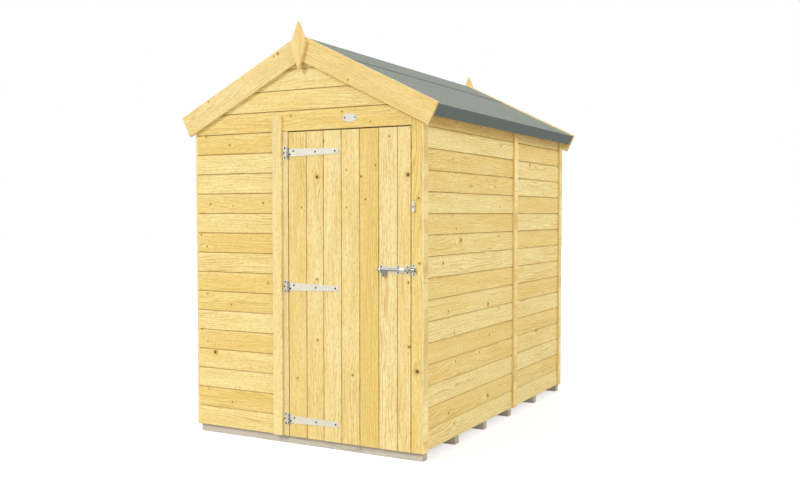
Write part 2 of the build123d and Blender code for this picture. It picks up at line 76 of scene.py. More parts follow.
# Share of a board's cover that is too narrow for a board of its own
SLIVER = 0.02


class Body(Enum):
    """The bodies of the frame that new pieces ride on."""

    SHED = "shed"
    DOOR = "door"
    BUTTON = "button"


class Tone(Enum):
    """How far a board is from the palest sapwood to the warmest heartwood."""

    SAP = 0.0
    PALE = 0.14
    STRAW = 0.38
    WARM = 0.72
    AMBER = 1.0


class Mark(Enum):
    """Names of the attributes that a timber mesh carries."""

    PLACE = "grain_place"
    TONE = "board_tone"
    KNOT_ONE = "knot_one"
    KNOT_TWO = "knot_two"
    KNOT_THREE = "knot_three"
    RECESS = "joint_recess"
    END = "end_grain"


KNOT_MARKS = {"Knot One": Mark.KNOT_ONE, "Knot Two": Mark.KNOT_TWO, "Knot Three": Mark.KNOT_THREE}
SINGLE_MARKS = {"Tone": Mark.TONE, "Recess": Mark.RECESS, "End": Mark.END}


@dataclass(frozen=True)
class Knot:
    """A knot on the face of a board.

    Attributes:
        place: A point on the board in the frame.
        radius: Radius of the dark heart.
    """

    place: Vector
    radius: float


@dataclass(frozen=True)
class Axes:
    """The directions of a board.

    Attributes:
        along: Along the grain.
        across: Over the width of its face.
        out: Square out of its face.
    """

    along: Vector
    across: Vector
    out: Vector

    def point(self, along: float, across: float, out: float) -> Vector:
        """The point in the frame at these distances."""
        return self.along * along + self.across * across + self.out * out

    def place(self, point: Vector) -> Vector:
        """The distances of a point along, across and out."""
        return Vector((point.dot(self.along), point.dot(self.across), point.dot(self.out)))


def shade(screen: Screen) -> tuple[float, ...]:
    """Turns a colour in screen values of 0 to 255 into the linear colour of a shader.

    Args:
        screen: Red, green and blue.

    Returns:
        The linear colour with an alpha of 1.
    """
    parts = [value / 255 for value in screen]
    linear = [part / 12.92 if part <= 0.04045 else ((part + 0.055) / 1.055) ** 2.4 for part in parts]
    return (*linear, 1.0)


def middle(node: str) -> Vector:
    """Middle of a node's box."""
    low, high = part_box(node)
    return (low + high) / 2


def corners_of(node: str) -> list[Vector]:
    """Corners of a node's mesh."""
    return [vert.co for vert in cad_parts[node].data.vertices]


def placed(name: str, data: bpy.types.ID) -> Object:
    """Makes an object of a mesh, lamp or camera and links it to the scene.

    Args:
        name: Its name.
        data: What it shows.

    Returns:
        The object.
    """
    made = bpy.data.objects.new(name, data)
    bpy.context.scene.collection.objects.link(made)
    return made


def formed(name: str, shape: Shape) -> Object:
    """Makes an object of a shape, with its faces turned outwards, and frees the shape.

    Args:
        name: Its name.
        shape: The shape.

    Returns:
        The object.
    """
    bmesh.ops.recalc_face_normals(shape, faces=shape.faces)
    mesh = bpy.data.meshes.new(name)
    shape.to_mesh(mesh)
    shape.free()
    return placed(name, mesh)


def skin(shape: Shape, loops: list[Loop], smooth: bool = False) -> None:
    """Closes the bands between loops of points.

    Args:
        shape: The shape that holds the points.
        loops: The loops in order, all with as many points.
        smooth: Whether the bands are shaded smooth.
    """
    for near, far in zip(loops, loops[1:]):
        for i in range(len(near)):
            j = (i + 1) % len(near)
            shape.faces.new((near[i], far[i], far[j], near[j])).smooth = smooth


def extrude(shape: Shape, section: list[Pair], ends: Pair, axes: Axes) -> None:
    """Adds a closed bar of one section to a shape.

    Args:
        shape: The shape.
        section: Outline of the bar as distances across and out.
        ends: Where it starts and ends along the grain.
        axes: Its directions.
    """
    loops = [[shape.verts.new(axes.point(end, across, out)) for across, out in section] for end in ends]
    shape.faces.new(loops[0])
    shape.faces.new(loops[1][::-1])
    skin(shape, loops)


def dress(piece: Object, material: Material, body: Body, slot: str, *nodes: str) -> Object:
    """Gives a piece its material and body, and hides the nodes that it stands for.

    Args:
        piece: The piece.
        material: Its material.
        body: The body that it rides on.
        slot: The record's slot; not used.
        *nodes: The nodes that it replaces.

    Returns:
        The piece.
    """
    piece.data.materials.append(material)
    if nodes:
        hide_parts(*nodes)
    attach(piece, body.value)
    log.info("%s: %d faces on %s", piece.name, len(piece.data.polygons), body.value)
    return piece


def paint_node(name: str, coat: Material) -> None:
    """Gives a shown node a material in each of its slots.

    Args:
        name: The node.
        coat: The material.
    """
    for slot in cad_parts[name].material_slots:
        slot.material = coat
    log.info("%s: %s", name, coat.name)


@dataclass
class Wiring:
    """Adds nodes to one shader tree and joins them.

    Attributes:
        tree: The tree that is wired.
    """

    tree: Tree

    def node(self, kind: str, **settings: object) -> bpy.types.Node:
        """Adds a node and sets its properties.

        Args:
            kind: Class name of the node.
            **settings: Properties of the node by name.

        Returns:
            The new node.
        """
        made = self.tree.nodes.new(kind)
        for name, value in settings.items():
            setattr(made, name, value)
        return made

    def feed(self, socket: Socket, value: object) -> None:
        """Links an output into a socket, or sets the socket to a plain value.

        Args:
            socket: The socket.
            value: An output, a plain value, or None to leave the socket as it is.
        """
        if isinstance(value, Socket):
            self.tree.links.new(value, socket)
        elif value is not None:
            socket.default_value = value

    def math(self, operation: str, first: object, second: object = None, clamp: bool = False) -> Socket:
        """Adds a Math node.

        Args:
            operation: Its operation.
            first: First value or socket.
            second: Second value or socket.
            clamp: Whether the result is held between 0 and 1.

        Returns:
            The result's socket.
        """
        made = self.node("ShaderNodeMath", operation=operation, use_clamp=clamp)
        self.feed(made.inputs[0], first)
        self.feed(made.inputs[1], second)
        return made.outputs[0]

    def plus(self, first: object, second: object) -> Socket:
        """Adds two values."""
        return self.math("ADD", first, second)

    def minus(self, first: object, second: object) -> Socket:
        """Takes the second value from the first."""
        return self.math("SUBTRACT", first, second)

    def times(self, first: object, second: object) -> Socket:
        """Multiplies two values."""
        return self.math("MULTIPLY", first, second)

    def mix(self, share: object, first: object, second: object) -> Socket:
        """Mixes two colours.

        Args:
            share: How much of the second is taken.
            first: First colour or socket.
            second: Second colour or socket.

        Returns:
            The mixed colour's socket.
        """
        made = self.node("ShaderNodeMix", data_type="RGBA", clamp_factor=True)
        self.feed(made.inputs[0], share)
        self.feed(made.inputs[6], first)
        self.feed(made.inputs[7], second)
        return made.outputs[2]

    def join(self, x: object, y: object, z: object) -> Socket:
        """Joins three values into a vector.

        Args:
            x: First value or socket.
            y: Second value or socket.
            z: Third value or socket.

        Returns:
            The vector's socket.
        """
        made = self.node("ShaderNodeCombineXYZ")
        for socket, value in zip(made.inputs, (x, y, z)):
            self.feed(socket, value)
        return made.outputs[0]

    def split(self, vector: Socket) -> tuple[Socket, ...]:
        """Splits a vector into its three values.

        Args:
            vector: The vector's socket.

        Returns:
            The sockets of the three values.
        """
        made = self.node("ShaderNodeSeparateXYZ")
        self.feed(made.inputs[0], vector)
        return tuple(made.outputs)

    def noise(self, place: Socket, scale: object, detail: float = 2.0) -> Socket:
        """Adds a Noise texture.

        Args:
            place: Where it is read.
            scale: Its scale.
            detail: Its octaves.

        Returns:
            The noise's value.
        """
        made = self.node("ShaderNodeTexNoise")
        for name, value in {"Vector": place, "Scale": scale, "Detail": detail}.items():
            self.feed(made.inputs[name], value)
        return made.outputs[0]

    def spread(self, value: object, low: float, high: float, least: float = 0.0, most: float = 1.0) -> Socket:
        """Maps a value from one range onto another and holds it there.

        Args:
            value: Value or socket.
            low: Where the first range starts.
            high: Where the first range ends.
            least: What low becomes.
            most: What high becomes.

        Returns:
            The mapped value's socket.
        """
        made = self.node("ShaderNodeMapRange", clamp=True)
        for socket, number in zip(made.inputs, (value, low, high, least, most)):
            self.feed(socket, number)
        return made.outputs[0]


def cleared(owner: bpy.types.ID) -> Wiring:
    """Clears the nodes of a material or a world.

    Args:
        owner: The material or world.

    Returns:
        The wiring of its node tree.
    """
    owner.use_nodes = True
    owner.node_tree.nodes.clear()
    return Wiring(owner.node_tree)


@dataclass
class Figure:
    """A node group that puts out the colour, height and roughness of a surface.

    Attributes:
        name: Name of the group.
        inputs: Names of its inputs, each with its kind: Vector, Float or Color.
    """

    name: str
    inputs: dict[str, str]

    def start(self) -> tuple[Wiring, bpy.types.NodeOutputs, bpy.types.NodeInputs]:
        """Makes the group's sockets.

        Returns:
            Its wiring, what it is given and what it puts out.
        """
        group = bpy.data.node_groups.new(self.name, "ShaderNodeTree")
        for name, kind in self.inputs.items():
            group.interface.new_socket(name=name, in_out="INPUT", socket_type=f"NodeSocket{kind}")
        for name, kind in (("Colour", "Color"), ("Height", "Float"), ("Roughness", "Float")):
            group.interface.new_socket(name=name, in_out="OUTPUT", socket_type=f"NodeSocket{kind}")
        wiring = Wiring(group)
        given = wiring.node("NodeGroupInput").outputs
        result = wiring.node("NodeGroupOutput").inputs
        return wiring, given, result


@dataclass
class PineFigure:
    """The figure of planed pine: growth lines that part round the knots, fine streaks and knots.

    Attributes:
        lines_per_metre: Growth lines to a metre, counted over the width of a board.
        drift: How far slow noise bends the growth lines, in lines.
        wander: How far quick noise shifts them, in lines.
        grain_depth: How much of the grain colour the lines take.
        streak_depth: How much of it the fine streaks take.
        fleck_depth: How much of it the short flecks take.
        ring_depth: How much of it the ring round a knot takes.
        heart_depth: How much of the heart colour a knot takes.
        joint_shade: How far the joints between boards are darkened: painted shade in the recesses behind the
            face, with some dust.
        end_shade: How far the sawn ends are darkened: the end grain's own darker colour, and painted shade.
    """

    lines_per_metre: float = 75.0
    drift: float = 8.0
    wander: float = 1.6
    grain_depth: float = 0.74
    streak_depth: float = 0.4
    fleck_depth: float = 0.52
    ring_depth: float = 0.6
    heart_depth: float = 0.92
    joint_shade: float = 0.42
    end_shade: float = 0.45

    def build(self) -> Tree:
        """Builds the node group.

        Returns:
            The group.
        """
        inputs = {"Place": "Vector"} | dict.fromkeys(SINGLE_MARKS, "Float")
        inputs |= dict.fromkeys(KNOT_MARKS, "Vector")
        inputs |= dict.fromkeys(("Pale", "Warm", "Grain", "Heart"), "Color")
        wiring, given, result = Figure("pine_figure", inputs).start()
        along, across, depth = wiring.split(given["Place"])
        bend, hearts, rings = 0.0, 0.0, 0.0
        for name in KNOT_MARKS:
            knot_bend, heart, ring = self.knot(wiring, along, across, given[name])
            bend = wiring.plus(knot_bend, bend)
            hearts = wiring.math("MAXIMUM", heart, hearts)
            rings = wiring.math("MAXIMUM", ring, rings)
        flow = wiring.minus(across, bend)

        def drawn_out(along_rate: float, flow_rate: float, detail: float, scale: float = 1.0) -> Socket:
            """Noise that is drawn out along the grain."""
            place = wiring.join(wiring.times(along, along_rate), wiring.times(flow, flow_rate), depth)
            return wiring.noise(place, scale, detail)

        slow = drawn_out(1.5, 9.0, 2.0)
        uneven = drawn_out(2.5, 55.0, 1.0)
        streak = drawn_out(5.0, 330.0, 3.0)
        fleck = drawn_out(45.0, 170.0, 2.0)
        patch = drawn_out(2.2, 14.0, 2.0, scale=1.3)
        drifted = wiring.plus(wiring.times(flow, self.lines_per_metre), wiring.times(slow, self.drift))
        lines = wiring.plus(drifted, wiring.times(uneven, self.wander))
        late_wood = wiring.spread(wiring.math("SINE", wiring.times(lines, math.tau)), -0.2, 1.0)
        faint = wiring.spread(uneven, 0.3, 0.62, 0.35, 1.0)
        line_depth = wiring.times(wiring.spread(slow, 0.35, 0.65, 0.14, self.grain_depth), faint)

        tone = wiring.math("ADD", given["Tone"], wiring.spread(patch, 0.3, 0.7, -0.3, 0.3), clamp=True)
        colour = wiring.mix(tone, given["Pale"], given["Warm"])
        layers = (
            (wiring.times(late_wood, line_depth), "Grain"),
            (wiring.spread(streak, 0.35, 0.75, 0.0, self.streak_depth), "Grain"),
            (wiring.spread(fleck, 0.45, 0.75, 0.0, self.fleck_depth), "Grain"),
            (wiring.times(rings, self.ring_depth), "Grain"),
            (wiring.times(hearts, self.heart_depth), "Heart"),
            # Sawn ends take the heart colour: the end grain's darker colour, with painted shade.
            (wiring.times(given["End"], self.end_shade), "Heart"),
            # Recesses behind the face take the heart colour: painted shade in the joints, with some dust.
            (wiring.spread(given["Recess"], 0.3 * MM, 5 * MM, 0.0, self.joint_shade), "Heart"),
        )
        for share, stain in layers:
            colour = wiring.mix(share, colour, given[stain])
        wiring.feed(result["Colour"], colour)
        ridges = wiring.plus(wiring.times(late_wood, 0.45), wiring.times(streak, 0.55))
        wiring.feed(result["Height"], wiring.minus(ridges, wiring.times(hearts, 0.6)))
        wiring.feed(result["Roughness"], wiring.spread(streak, 0.3, 0.7, 0.5, 0.68))
        return wiring.tree

    def knot(self, wiring: Wiring, along: Socket, across: Socket, knot: Socket) -> tuple[Socket, ...]:
        """Wires one knot.

        Args:
            wiring: The group's wiring.
            along: Distance along the grain.
            across: Distance over the board.
            knot: The knot's place along and across, and its radius. No radius means no knot.

        Returns:
            How far the grain is bent across, the dark heart and the ring round it.
        """
        knot_along, knot_across, radius = wiring.split(knot)
        run = wiring.minus(along, knot_along)
        rise = wiring.minus(across, knot_across)
        rise_squared = wiring.times(rise, rise)
        long_run = wiring.times(run, 0.42)
        far = wiring.plus(wiring.times(long_run, long_run), rise_squared)
        exists = wiring.math("MULTIPLY", radius, 1000.0, clamp=True)
        reach = wiring.times(wiring.plus(wiring.times(radius, 1.6), 7 * MM), exists)
        reach_squared = wiring.times(reach, reach)
        spread = wiring.plus(far, wiring.plus(wiring.times(reach_squared, 0.3), 1e-7))
        bend = wiring.times(rise, wiring.math("DIVIDE", reach_squared, spread))
        gap = wiring.math("SQRT", wiring.plus(wiring.times(run, run), rise_squared))

        def disc(edge: float, fade: float) -> Socket:
            """A round mask, with its edge and its fade as shares of the radius."""
            inside = wiring.minus(wiring.times(radius, edge), gap)
            return wiring.math("DIVIDE", inside, wiring.plus(wiring.times(radius, fade), 1e-6), clamp=True)

        return bend, disc(1.15, 0.4), disc(3.2, 2.2)


@dataclass
class FineMottle:
    """Fine specks and wider patches, for zinc coating, plate and mineral felt.

    Attributes:
        speck_share: How much of the colour follows the specks. The patches have the rest.
    """

    speck_share: float = 0.55

    def build(self) -> Tree:
        """Builds the node group.

        Returns:
            The group.
        """
        inputs = dict.fromkeys(("Dark", "Light"), "Color")
        inputs |= dict.fromkeys(("Speck Scale", "Patch Scale", "Smoothest", "Roughest"), "Float")
        wiring, given, result = Figure("fine_mottle", inputs).start()
        place = wiring.node("ShaderNodeTexCoord").outputs["Object"]
        specks = wiring.node("ShaderNodeTexVoronoi")
        wiring.feed(specks.inputs["Vector"], place)
        wiring.feed(specks.inputs["Scale"], given["Speck Scale"])
        speck = wiring.split(specks.outputs["Color"])[0]
        patch = wiring.noise(place, given["Patch Scale"])
        share = wiring.plus(wiring.times(speck, self.speck_share), wiring.times(patch, 1 - self.speck_share))
        wiring.feed(result["Colour"], wiring.mix(share, given["Dark"], given["Light"]))
        wiring.feed(result["Height"], speck)
        rough = wiring.node("ShaderNodeMix", data_type="FLOAT")
        for i, value in ((0, patch), (2, given["Smoothest"]), (3, given["Roughest"])):
            wiring.feed(rough.inputs[i], value)
        wiring.feed(result["Roughness"], rough.outputs[0])
        return wiring.tree


@dataclass(frozen=True)
class Surface:
    """How a material takes light.

    Attributes:
        relief: Height of its relief.
        strength: Strength of its relief.
        specular: Specular level.
        metallic: How metallic it is.
    """

    relief: float
    strength: float
    specular: float
    metallic: float = 0.0

    def material(self, name: str, figure: Tree, values: dict[str, object]) -> Material:
        """Builds a material whose colour, height and roughness come from a node group.

        Args:
            name: Its name.
            figure: The node group.
            values: What the group's inputs take: marks of the mesh, colours or numbers.

        Returns:
            The material.
        """
        made = bpy.data.materials.new(name)
        wiring = cleared(made)
        group = wiring.node("ShaderNodeGroup", node_tree=figure)
        for socket, value in values.items():
            if isinstance(value, Mark):
                read = wiring.node("ShaderNodeAttribute", attribute_name=value.value)
                value = read.outputs["Fac" if value in SINGLE_MARKS.values() else "Vector"]
            wiring.feed(group.inputs[socket], value)
        shader = wiring.node("ShaderNodeBsdfPrincipled")
        shader.inputs["Metallic"].default_value = self.metallic
        shader.inputs["Specular IOR Level"].default_value = self.specular
        bump = wiring.node("ShaderNodeBump")
        bump.inputs["Distance"].default_value = self.relief
        bump.inputs["Strength"].default_value = self.strength
        wiring.feed(bump.inputs["Height"], group.outputs["Height"])
        wiring.feed(shader.inputs["Base Color"], group.outputs["Colour"])
        wiring.feed(shader.inputs["Roughness"], group.outputs["Roughness"])
        wiring.feed(shader.inputs["Normal"], bump.outputs[0])
        wiring.feed(wiring.node("ShaderNodeOutputMaterial").inputs["Surface"], shader.outputs[0])
        return made


@dataclass(frozen=True)
class TimberFinish:
    """Planed softwood in one range of colour.

    Attributes:
        name: Name of the material.
        pale: Colour of the palest wood.
        warm: Colour of the warmest wood.
        grain: Colour of the growth lines.
        heart: Colour inside a knot.
        surface: How it takes light.
    """

    name: str
    pale: Screen
    warm: Screen
    grain: Screen
    heart: Screen = (112, 66, 26)
    surface: Surface = Surface(0.25 * MM, 0.6, 0.3)

    def material(self, figure: Tree) -> Material:
        """Builds the material.

        Args:
            figure: The pine figure's node group.

        Returns:
            The material.
        """
        colours = {"Pale": self.pale, "Warm": self.warm, "Grain": self.grain, "Heart": self.heart}
        values = {"Place": Mark.PLACE} | SINGLE_MARKS | KNOT_MARKS
        values |= {socket: shade(colour) for socket, colour in colours.items()}
        return self.surface.material(self.name, figure, values)


@dataclass(frozen=True)
class MottledFinish:
    """A metal or felt surface with fine specks.

    Attributes:
        name: Name of the material.
        dark: Darkest colour.
        light: Lightest colour.
        metallic: How metallic it is.
        roughness: Its smoothest and roughest.
        speck_scale: Specks to a metre.
        patch_scale: Scale of the wider patches.
        relief: Height of the specks.
        specular: Specular level.
    """

    name: str
    dark: Screen
    light: Screen
    metallic: float
    roughness: Pair
    speck_scale: float
    patch_scale: float
    relief: float
    specular: float = 0.5

    def material(self, mottle: Tree) -> Material:
        """Builds the material.

        Args:
            mottle: The fine mottle's node group.

        Returns:
            The material.
        """
        values = {"Dark": shade(self.dark), "Light": shade(self.light)}
        values |= {"Speck Scale": self.speck_scale, "Patch Scale": self.patch_scale}
        values |= {"Smoothest": self.roughness[0], "Roughest": self.roughness[1]}
        return Surface(self.relief, 1.0, self.specular, self.metallic).material(self.name, mottle, values)


WALL_PINE = TimberFinish("wall_pine", (255, 237, 168), (244, 213, 126), (208, 167, 82))
DOOR_PINE = TimberFinish("door_pine", (254, 236, 172), (241, 212, 128), (205, 163, 80))
# A greyer copy of the pine for the board beside the cover strip: painted shade of the strip.
POST_PINE_SHADED = TimberFinish("post_pine_shaded", (246, 228, 172), (234, 208, 146), (204, 172, 104))
TRIM_PINE = TimberFinish("trim_pine", (252, 233, 168), (241, 208, 130), (210, 170, 92))
FRAME_PINE = TimberFinish("frame_pine", (248, 226, 160), (236, 200, 122), (210, 170, 94))
DECK_PINE = TimberFinish("deck_pine", (246, 222, 154), (232, 194, 116), (206, 164, 88))
BEARER_PINE = TimberFinish("bearer_pine", (220, 212, 197), (208, 198, 181), (184, 173, 155), (156, 138, 114))
ZINC = MottledFinish("zinc_coat", (191, 188, 174), (227, 223, 206), 0.6, (0.5, 0.62), 900, 60, 0.02 * MM)
# A darker copy of the zinc coat: painted shade on the bolt's rod, hasp and staple and on the hinge knuckles.
SHADED_ZINC = MottledFinish(
    "zinc_coat_shaded", (108, 111, 112), (162, 164, 163), 0.85, (0.3, 0.45), 900, 60, 0.02 * MM
)
SCREW_STEEL = MottledFinish(
    "screw_steel", (16, 13, 11), (34, 29, 25), 0, (0.7, 0.85), 1500, 200, 0.01 * MM, specular=0.06
)
PLATE_METAL = MottledFinish(
    "plate_metal", (198, 196, 188), (224, 221, 211), 0.6, (0.3, 0.4), 1400, 80, 0.01 * MM
)
FELT_TOP = MottledFinish("felt_top", (104, 110, 101), (139, 145, 133), 0, (0.82, 0.95), 650, 4, 0.5 * MM)
# Near-black felt for the strips along the ridge felt's lower edges: painted shadow of the lap.
FELT_LAP_SHADOW = MottledFinish("felt_lap_shadow", (40, 45, 43), (60, 67, 64), 0, (0.75, 0.9), 650, 5, 0.3 * MM)
# A darker copy of the felt for the eaves band: painted shade, partly the felt's own colour.
FELT_BAND_SHADED = MottledFinish("felt_band_shaded", (80, 88, 84), (108, 117, 111), 0, (0.8, 0.92), 650, 5, 0.4 * MM)


@dataclass
class TimberMesh:
    """Gathers boards into one mesh, with the marks of their grain, tone and knots.

    Attributes:
        draws: Seeded random numbers for tones and knots.
        knots: Knots at known places, which the boards under them take.
        chance: Chance that a free knot place of a board is filled.
        knot_radii: Radii of the drawn knots.
        knot_inset: How far a drawn knot stays from a board's long edges.
        knot_slack: How far past a board's edges a known knot may lie.
        knot_depth: How far from its face a known knot may lie.
        sharp: Angle in radians past which an edge is eased.
        square: How squarely a face has to look along the grain to be a sawn end.
        corners: Corners of all the boards.
        faces: Faces of all the boards.
        vectors: Marks of three numbers, one for each corner.
        numbers: Marks of one number, one for each corner, or for each face where they mark sawn ends.
    """

    draws: Draws
    knots: tuple[Knot, ...] = ()
    chance: float = 0.4
    knot_radii: tuple[float, ...] = (2.5 * MM, 3 * MM, 3.5 * MM, 4 * MM, 7 * MM)
    knot_inset: float = 8 * MM
    knot_slack: float = 2 * MM
    knot_depth: float = 8 * MM
    sharp: float = 0.6
    square: float = 0.8
    corners: list[Vector] = field(default_factory=list)
    faces: list[list[int]] = field(default_factory=list)
    vectors: dict[Mark, list[Vector]] = field(default_factory=lambda: defaultdict(list))
    numbers: dict[Mark, list[float]] = field(default_factory=lambda: defaultdict(list))

    def run(
        self,
        section: list[Pair],
        ends: Pair,
        axes: Axes,
        tone: float,
        cuts: Cuts = (),
        ease: float = 0.0,
        joint_depth: float = 0.0,
    ) -> None:
        """Adds a board of one section.

        Args:
            section: Its outline as distances across and out.
            ends: Where it starts and ends along the grain.
            axes: Its directions.
            tone: Its tone.
            cuts: Planes that cut it, each as a point and the normal to the side that falls off.
            ease: Width of the eased edges, or 0 where the section has them.
            joint_depth: How deep behind the face its joints are darkened with painted shade.
        """
        board = bmesh.new()
        extrude(board, section, ends, axes)
        for point, normal in cuts:
            whole = board.verts[:] + board.edges[:] + board.faces[:]
            cut = bmesh.ops.bisect_plane(board, geom=whole, plane_co=point, plane_no=normal, clear_outer=True)
            rim = [item for item in cut["geom_cut"] if isinstance(item, bmesh.types.BMEdge)]
            if rim:
                bmesh.ops.holes_fill(board, edges=rim, sides=0)
        if board.faces:
            self.take(board, axes, tone, ease, joint_depth)
        board.free()

    def take(self, board: Shape, axes: Axes, tone: float, ease: float, joint_depth: float = 0.0) -> None:
        """Eases a board's edges and adds it to the mesh.

        Args:
            board: The board.
            axes: Its directions.
            tone: Its tone.
            ease: Width of the eased edges.
            joint_depth: How deep behind the face its joints are darkened with painted shade.
        """
        bmesh.ops.recalc_face_normals(board, faces=board.faces)
        if ease > 0:
            edges = [edge for edge in board.edges if edge.is_manifold and edge.calc_face_angle() > self.sharp]
            rounding = {"segments": 2, "profile": 0.6, "affect": "EDGES", "clamp_overlap": True}
            bmesh.ops.bevel(board, geom=edges, offset=ease, **rounding)
        board.verts.index_update()
        board.normal_update()
        start = len(self.corners)
        points = [vert.co.copy() for vert in board.verts]
        spots = [axes.place(point) for point in points]
        seed = self.draws.uniform(1, 60)
        low = Vector([min(spot[i] for spot in spots) for i in range(3)])
        high = Vector([max(spot[i] for spot in spots) for i in range(3)])
        self.corners += points
        self.faces += [[start + vert.index for vert in face.verts] for face in board.faces]
        self.vectors[Mark.PLACE] += [Vector((spot.x, spot.y, spot.z + seed)) for spot in spots]
        for mark, knot in zip(KNOT_MARKS.values(), self.knots_of(axes, low, high)):
            self.vectors[mark] += [knot] * len(points)
        behind = [high.z - spot.z for spot in spots]
        self.numbers[Mark.TONE] += [tone] * len(points)
        # Depth behind the face, which the pine figure turns into painted shade in the joints.
        self.numbers[Mark.RECESS] += [depth if depth <= joint_depth else 0.0 for depth in behind]
        # Faces that look along the grain, which the pine figure darkens as end grain and painted shade.
        sawn = [abs(face.normal.dot(axes.along)) > self.square for face in board.faces]
        self.numbers[Mark.END] += [float(end) for end in sawn]

    def knots_of(self, axes: Axes, low: Vector, high: Vector) -> list[Vector]:
        """Finds or draws a board's knots.

        Args:
            axes: The board's directions.
            low: Its least distances along, across and out.
            high: Its greatest distances.

        Returns:
            Three knots, each as its place along and across, and its radius.
        """
        found = []
        for knot in self.knots:
            spot = axes.place(knot.place)
            inside = all(low[i] - self.knot_slack <= spot[i] <= high[i] + self.knot_slack for i in range(2))
            if inside and abs(spot.z - high.z) < self.knot_depth:
                found.append(Vector((spot.x, spot.y, knot.radius)))
        while len(found) < len(KNOT_MARKS):
            along = self.draws.uniform(low.x, high.x)
            across = self.draws.uniform(low.y + self.knot_inset, high.y - self.knot_inset)
            radius = self.draws.choice(self.knot_radii)
            has_knot = self.draws.random() < self.chance
            found.append(Vector((along, across, radius if has_knot else 0.0)))
        return found[: len(KNOT_MARKS)]

    def build(self, name: str) -> Object:
        """Builds the object.

        Args:
            name: Its name.

        Returns:
            The object, with its marks.
        """
        mesh = bpy.data.meshes.new(name)
        mesh.from_pydata(self.corners, [], self.faces)
        mesh.validate()
        for mark, vectors in self.vectors.items():
            layer = mesh.attributes.new(mark.value, "FLOAT_VECTOR", "POINT")
            layer.data.foreach_set("vector", [number for vector in vectors for number in vector])
        for mark, numbers in self.numbers.items():
            layer = mesh.attributes.new(mark.value, "FLOAT", "FACE" if mark is Mark.END else "POINT")
            layer.data.foreach_set("value", numbers)
        return placed(name, mesh)


FRONT = Axes(X_AXIS, Z_AXIS, -Y_AXIS)
REAR = Axes(-X_AXIS, Z_AXIS, Y_AXIS)
RIGHT = Axes(Y_AXIS, Z_AXIS, X_AXIS)
LEFT = Axes(-Y_AXIS, Z_AXIS, -X_AXIS)
UPRIGHT_FRONT = Axes(Z_AXIS, X_AXIS, -Y_AXIS)
FLOOR = Axes(Y_AXIS, -X_AXIS, Z_AXIS)


@dataclass
class RoofPlanes:
    """The planes of the roof, taken from the roof boards' own boxes.

    Attributes:
        pitch: Slope of the roof in degrees.
        board: Thickness of the roof boards.
    """

    pitch: float = 26.25
    board: float = 12 * MM

    def axes(self, hand: int) -> Axes:
        """Directions of one slope: along the ridge, down the slope and out of it.

        Args:
            hand: The side, -1 for the left and 1 for the right.

        Returns:
            Its axes.
        """
        slope = math.radians(self.pitch)
        down = Vector((hand * math.cos(slope), 0, -math.sin(slope)))
        return Axes(Y_AXIS * hand, down, Vector((hand * math.sin(slope), 0, math.cos(slope))))

    def under(self) -> Cuts:
        """The planes that cut a wall to both slopes.

        Returns:
            A point and the outward normal of each.
        """
        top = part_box("roof_boards_right")[1].z
        ridge = Vector((0, 0, top - self.board / math.cos(math.radians(self.pitch))))
        return tuple((ridge, self.axes(hand).out) for hand, _ in HANDS)


@dataclass
class ShiplapWall:
    """A wall of horizontal boards that lap over one another, with a scoop along each top edge.

    Attributes:
        axes: Directions of its boards.
        node: The node that it replaces.
        tones: Tones of the boards from the lowest up, repeated where there are more boards.
        knots: Knots at known places.
        roofed: Whether its top is cut to the slopes of the roof.
        chance: Chance of a knot at each free place of a board.
        cover: Height that a board covers.
        scoop: Height of the scoop.
        scoop_depth: How far the scoop's upper end lies behind the face.
        scoop_steps: Flats that the scoop is made of.
        hollow: Power that the scoop's depth grows by.
        lip: Thickness of the lip that hangs over the board below.
        arris: Width of the chamfer along the lip.
        joint: Open joint under the lip.
        tongue: How far the upper edge reaches behind the next board.
        play: Play above and below the tongue.
        tongue_play: Play between the tongue and the lip.
        tone_drift: How far a board's tone may lie from the one it is given.
    """

    axes: Axes
    node: str
    tones: tuple[Tone, ...]
    knots: tuple[Knot, ...] = ()
    roofed: bool = True
    chance: float = 0.1
    cover: float = 110 * MM
    scoop: float = 13 * MM
    scoop_depth: float = 5.2 * MM
    scoop_steps: int = 6
    hollow: float = 1.7
    lip: float = 6.4 * MM
    arris: float = 1 * MM
    joint: float = 1.7 * MM
    tongue: float = 4 * MM
    play: float = 0.3 * MM
    tongue_play: float = 0.2 * MM
    tone_drift: float = 0.06

    def section(self, foot: float, back: float, face: float) -> list[Pair]:
        """Outline of one board.

        Args:
            foot: Height of its lower edge.
            back: Distance out to its back.
            face: Distance out to its face.

        Returns:
            The outline as heights and distances out.
        """
        top = foot + self.cover
        lip_back = face - self.lip
        outline = [
            (foot + self.tongue + self.play, back),
            (foot + self.tongue + self.play, lip_back),
            (foot + self.joint, lip_back),
            (foot + self.joint, face - self.arris),
            (foot + self.joint + self.arris, face),
        ]
        for i in range(self.scoop_steps + 1):
            share = i / self.scoop_steps
            outline.append((top - self.scoop * (1 - share), face - self.scoop_depth * share**self.hollow))
        tongue_top = top + self.tongue - self.play
        return [*outline, (tongue_top, lip_back - self.tongue_play), (tongue_top, back)]

    def build(self, finish: Material, draws: Draws, roof: RoofPlanes) -> Object:
        """Builds the wall's boards.

        Args:
            finish: Their material.
            draws: Seeded random numbers.
            roof: The planes of the roof.

        Returns:
            The wall.
        """
        low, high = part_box(self.node)
        spots = [self.axes.place(corner) for corner in (low, high)]
        ends = tuple(sorted(spot.x for spot in spots))
        back, face = sorted(spot.z for spot in spots)
        mesh = TimberMesh(draws, self.knots, self.chance)
        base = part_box("bearers")[1].z
        first = round((low.z - base) / self.cover)
        count = math.ceil((high.z - low.z) / self.cover - SLIVER)
        cuts = (*(roof.under() if self.roofed else ()), (Vector((0, 0, high.z)), Z_AXIS))
        for i in range(count):
            foot = base + (first + i) * self.cover
            drift = draws.uniform(-self.tone_drift, self.tone_drift)
            tone = self.tones[i % len(self.tones)].value + drift
            mesh.run(self.section(foot, back, face), ends, self.axes, tone, cuts, joint_depth=self.lip)
        return dress(mesh.build(f"{self.node}_boards"), finish, Body.SHED, "wall_timber", self.node)


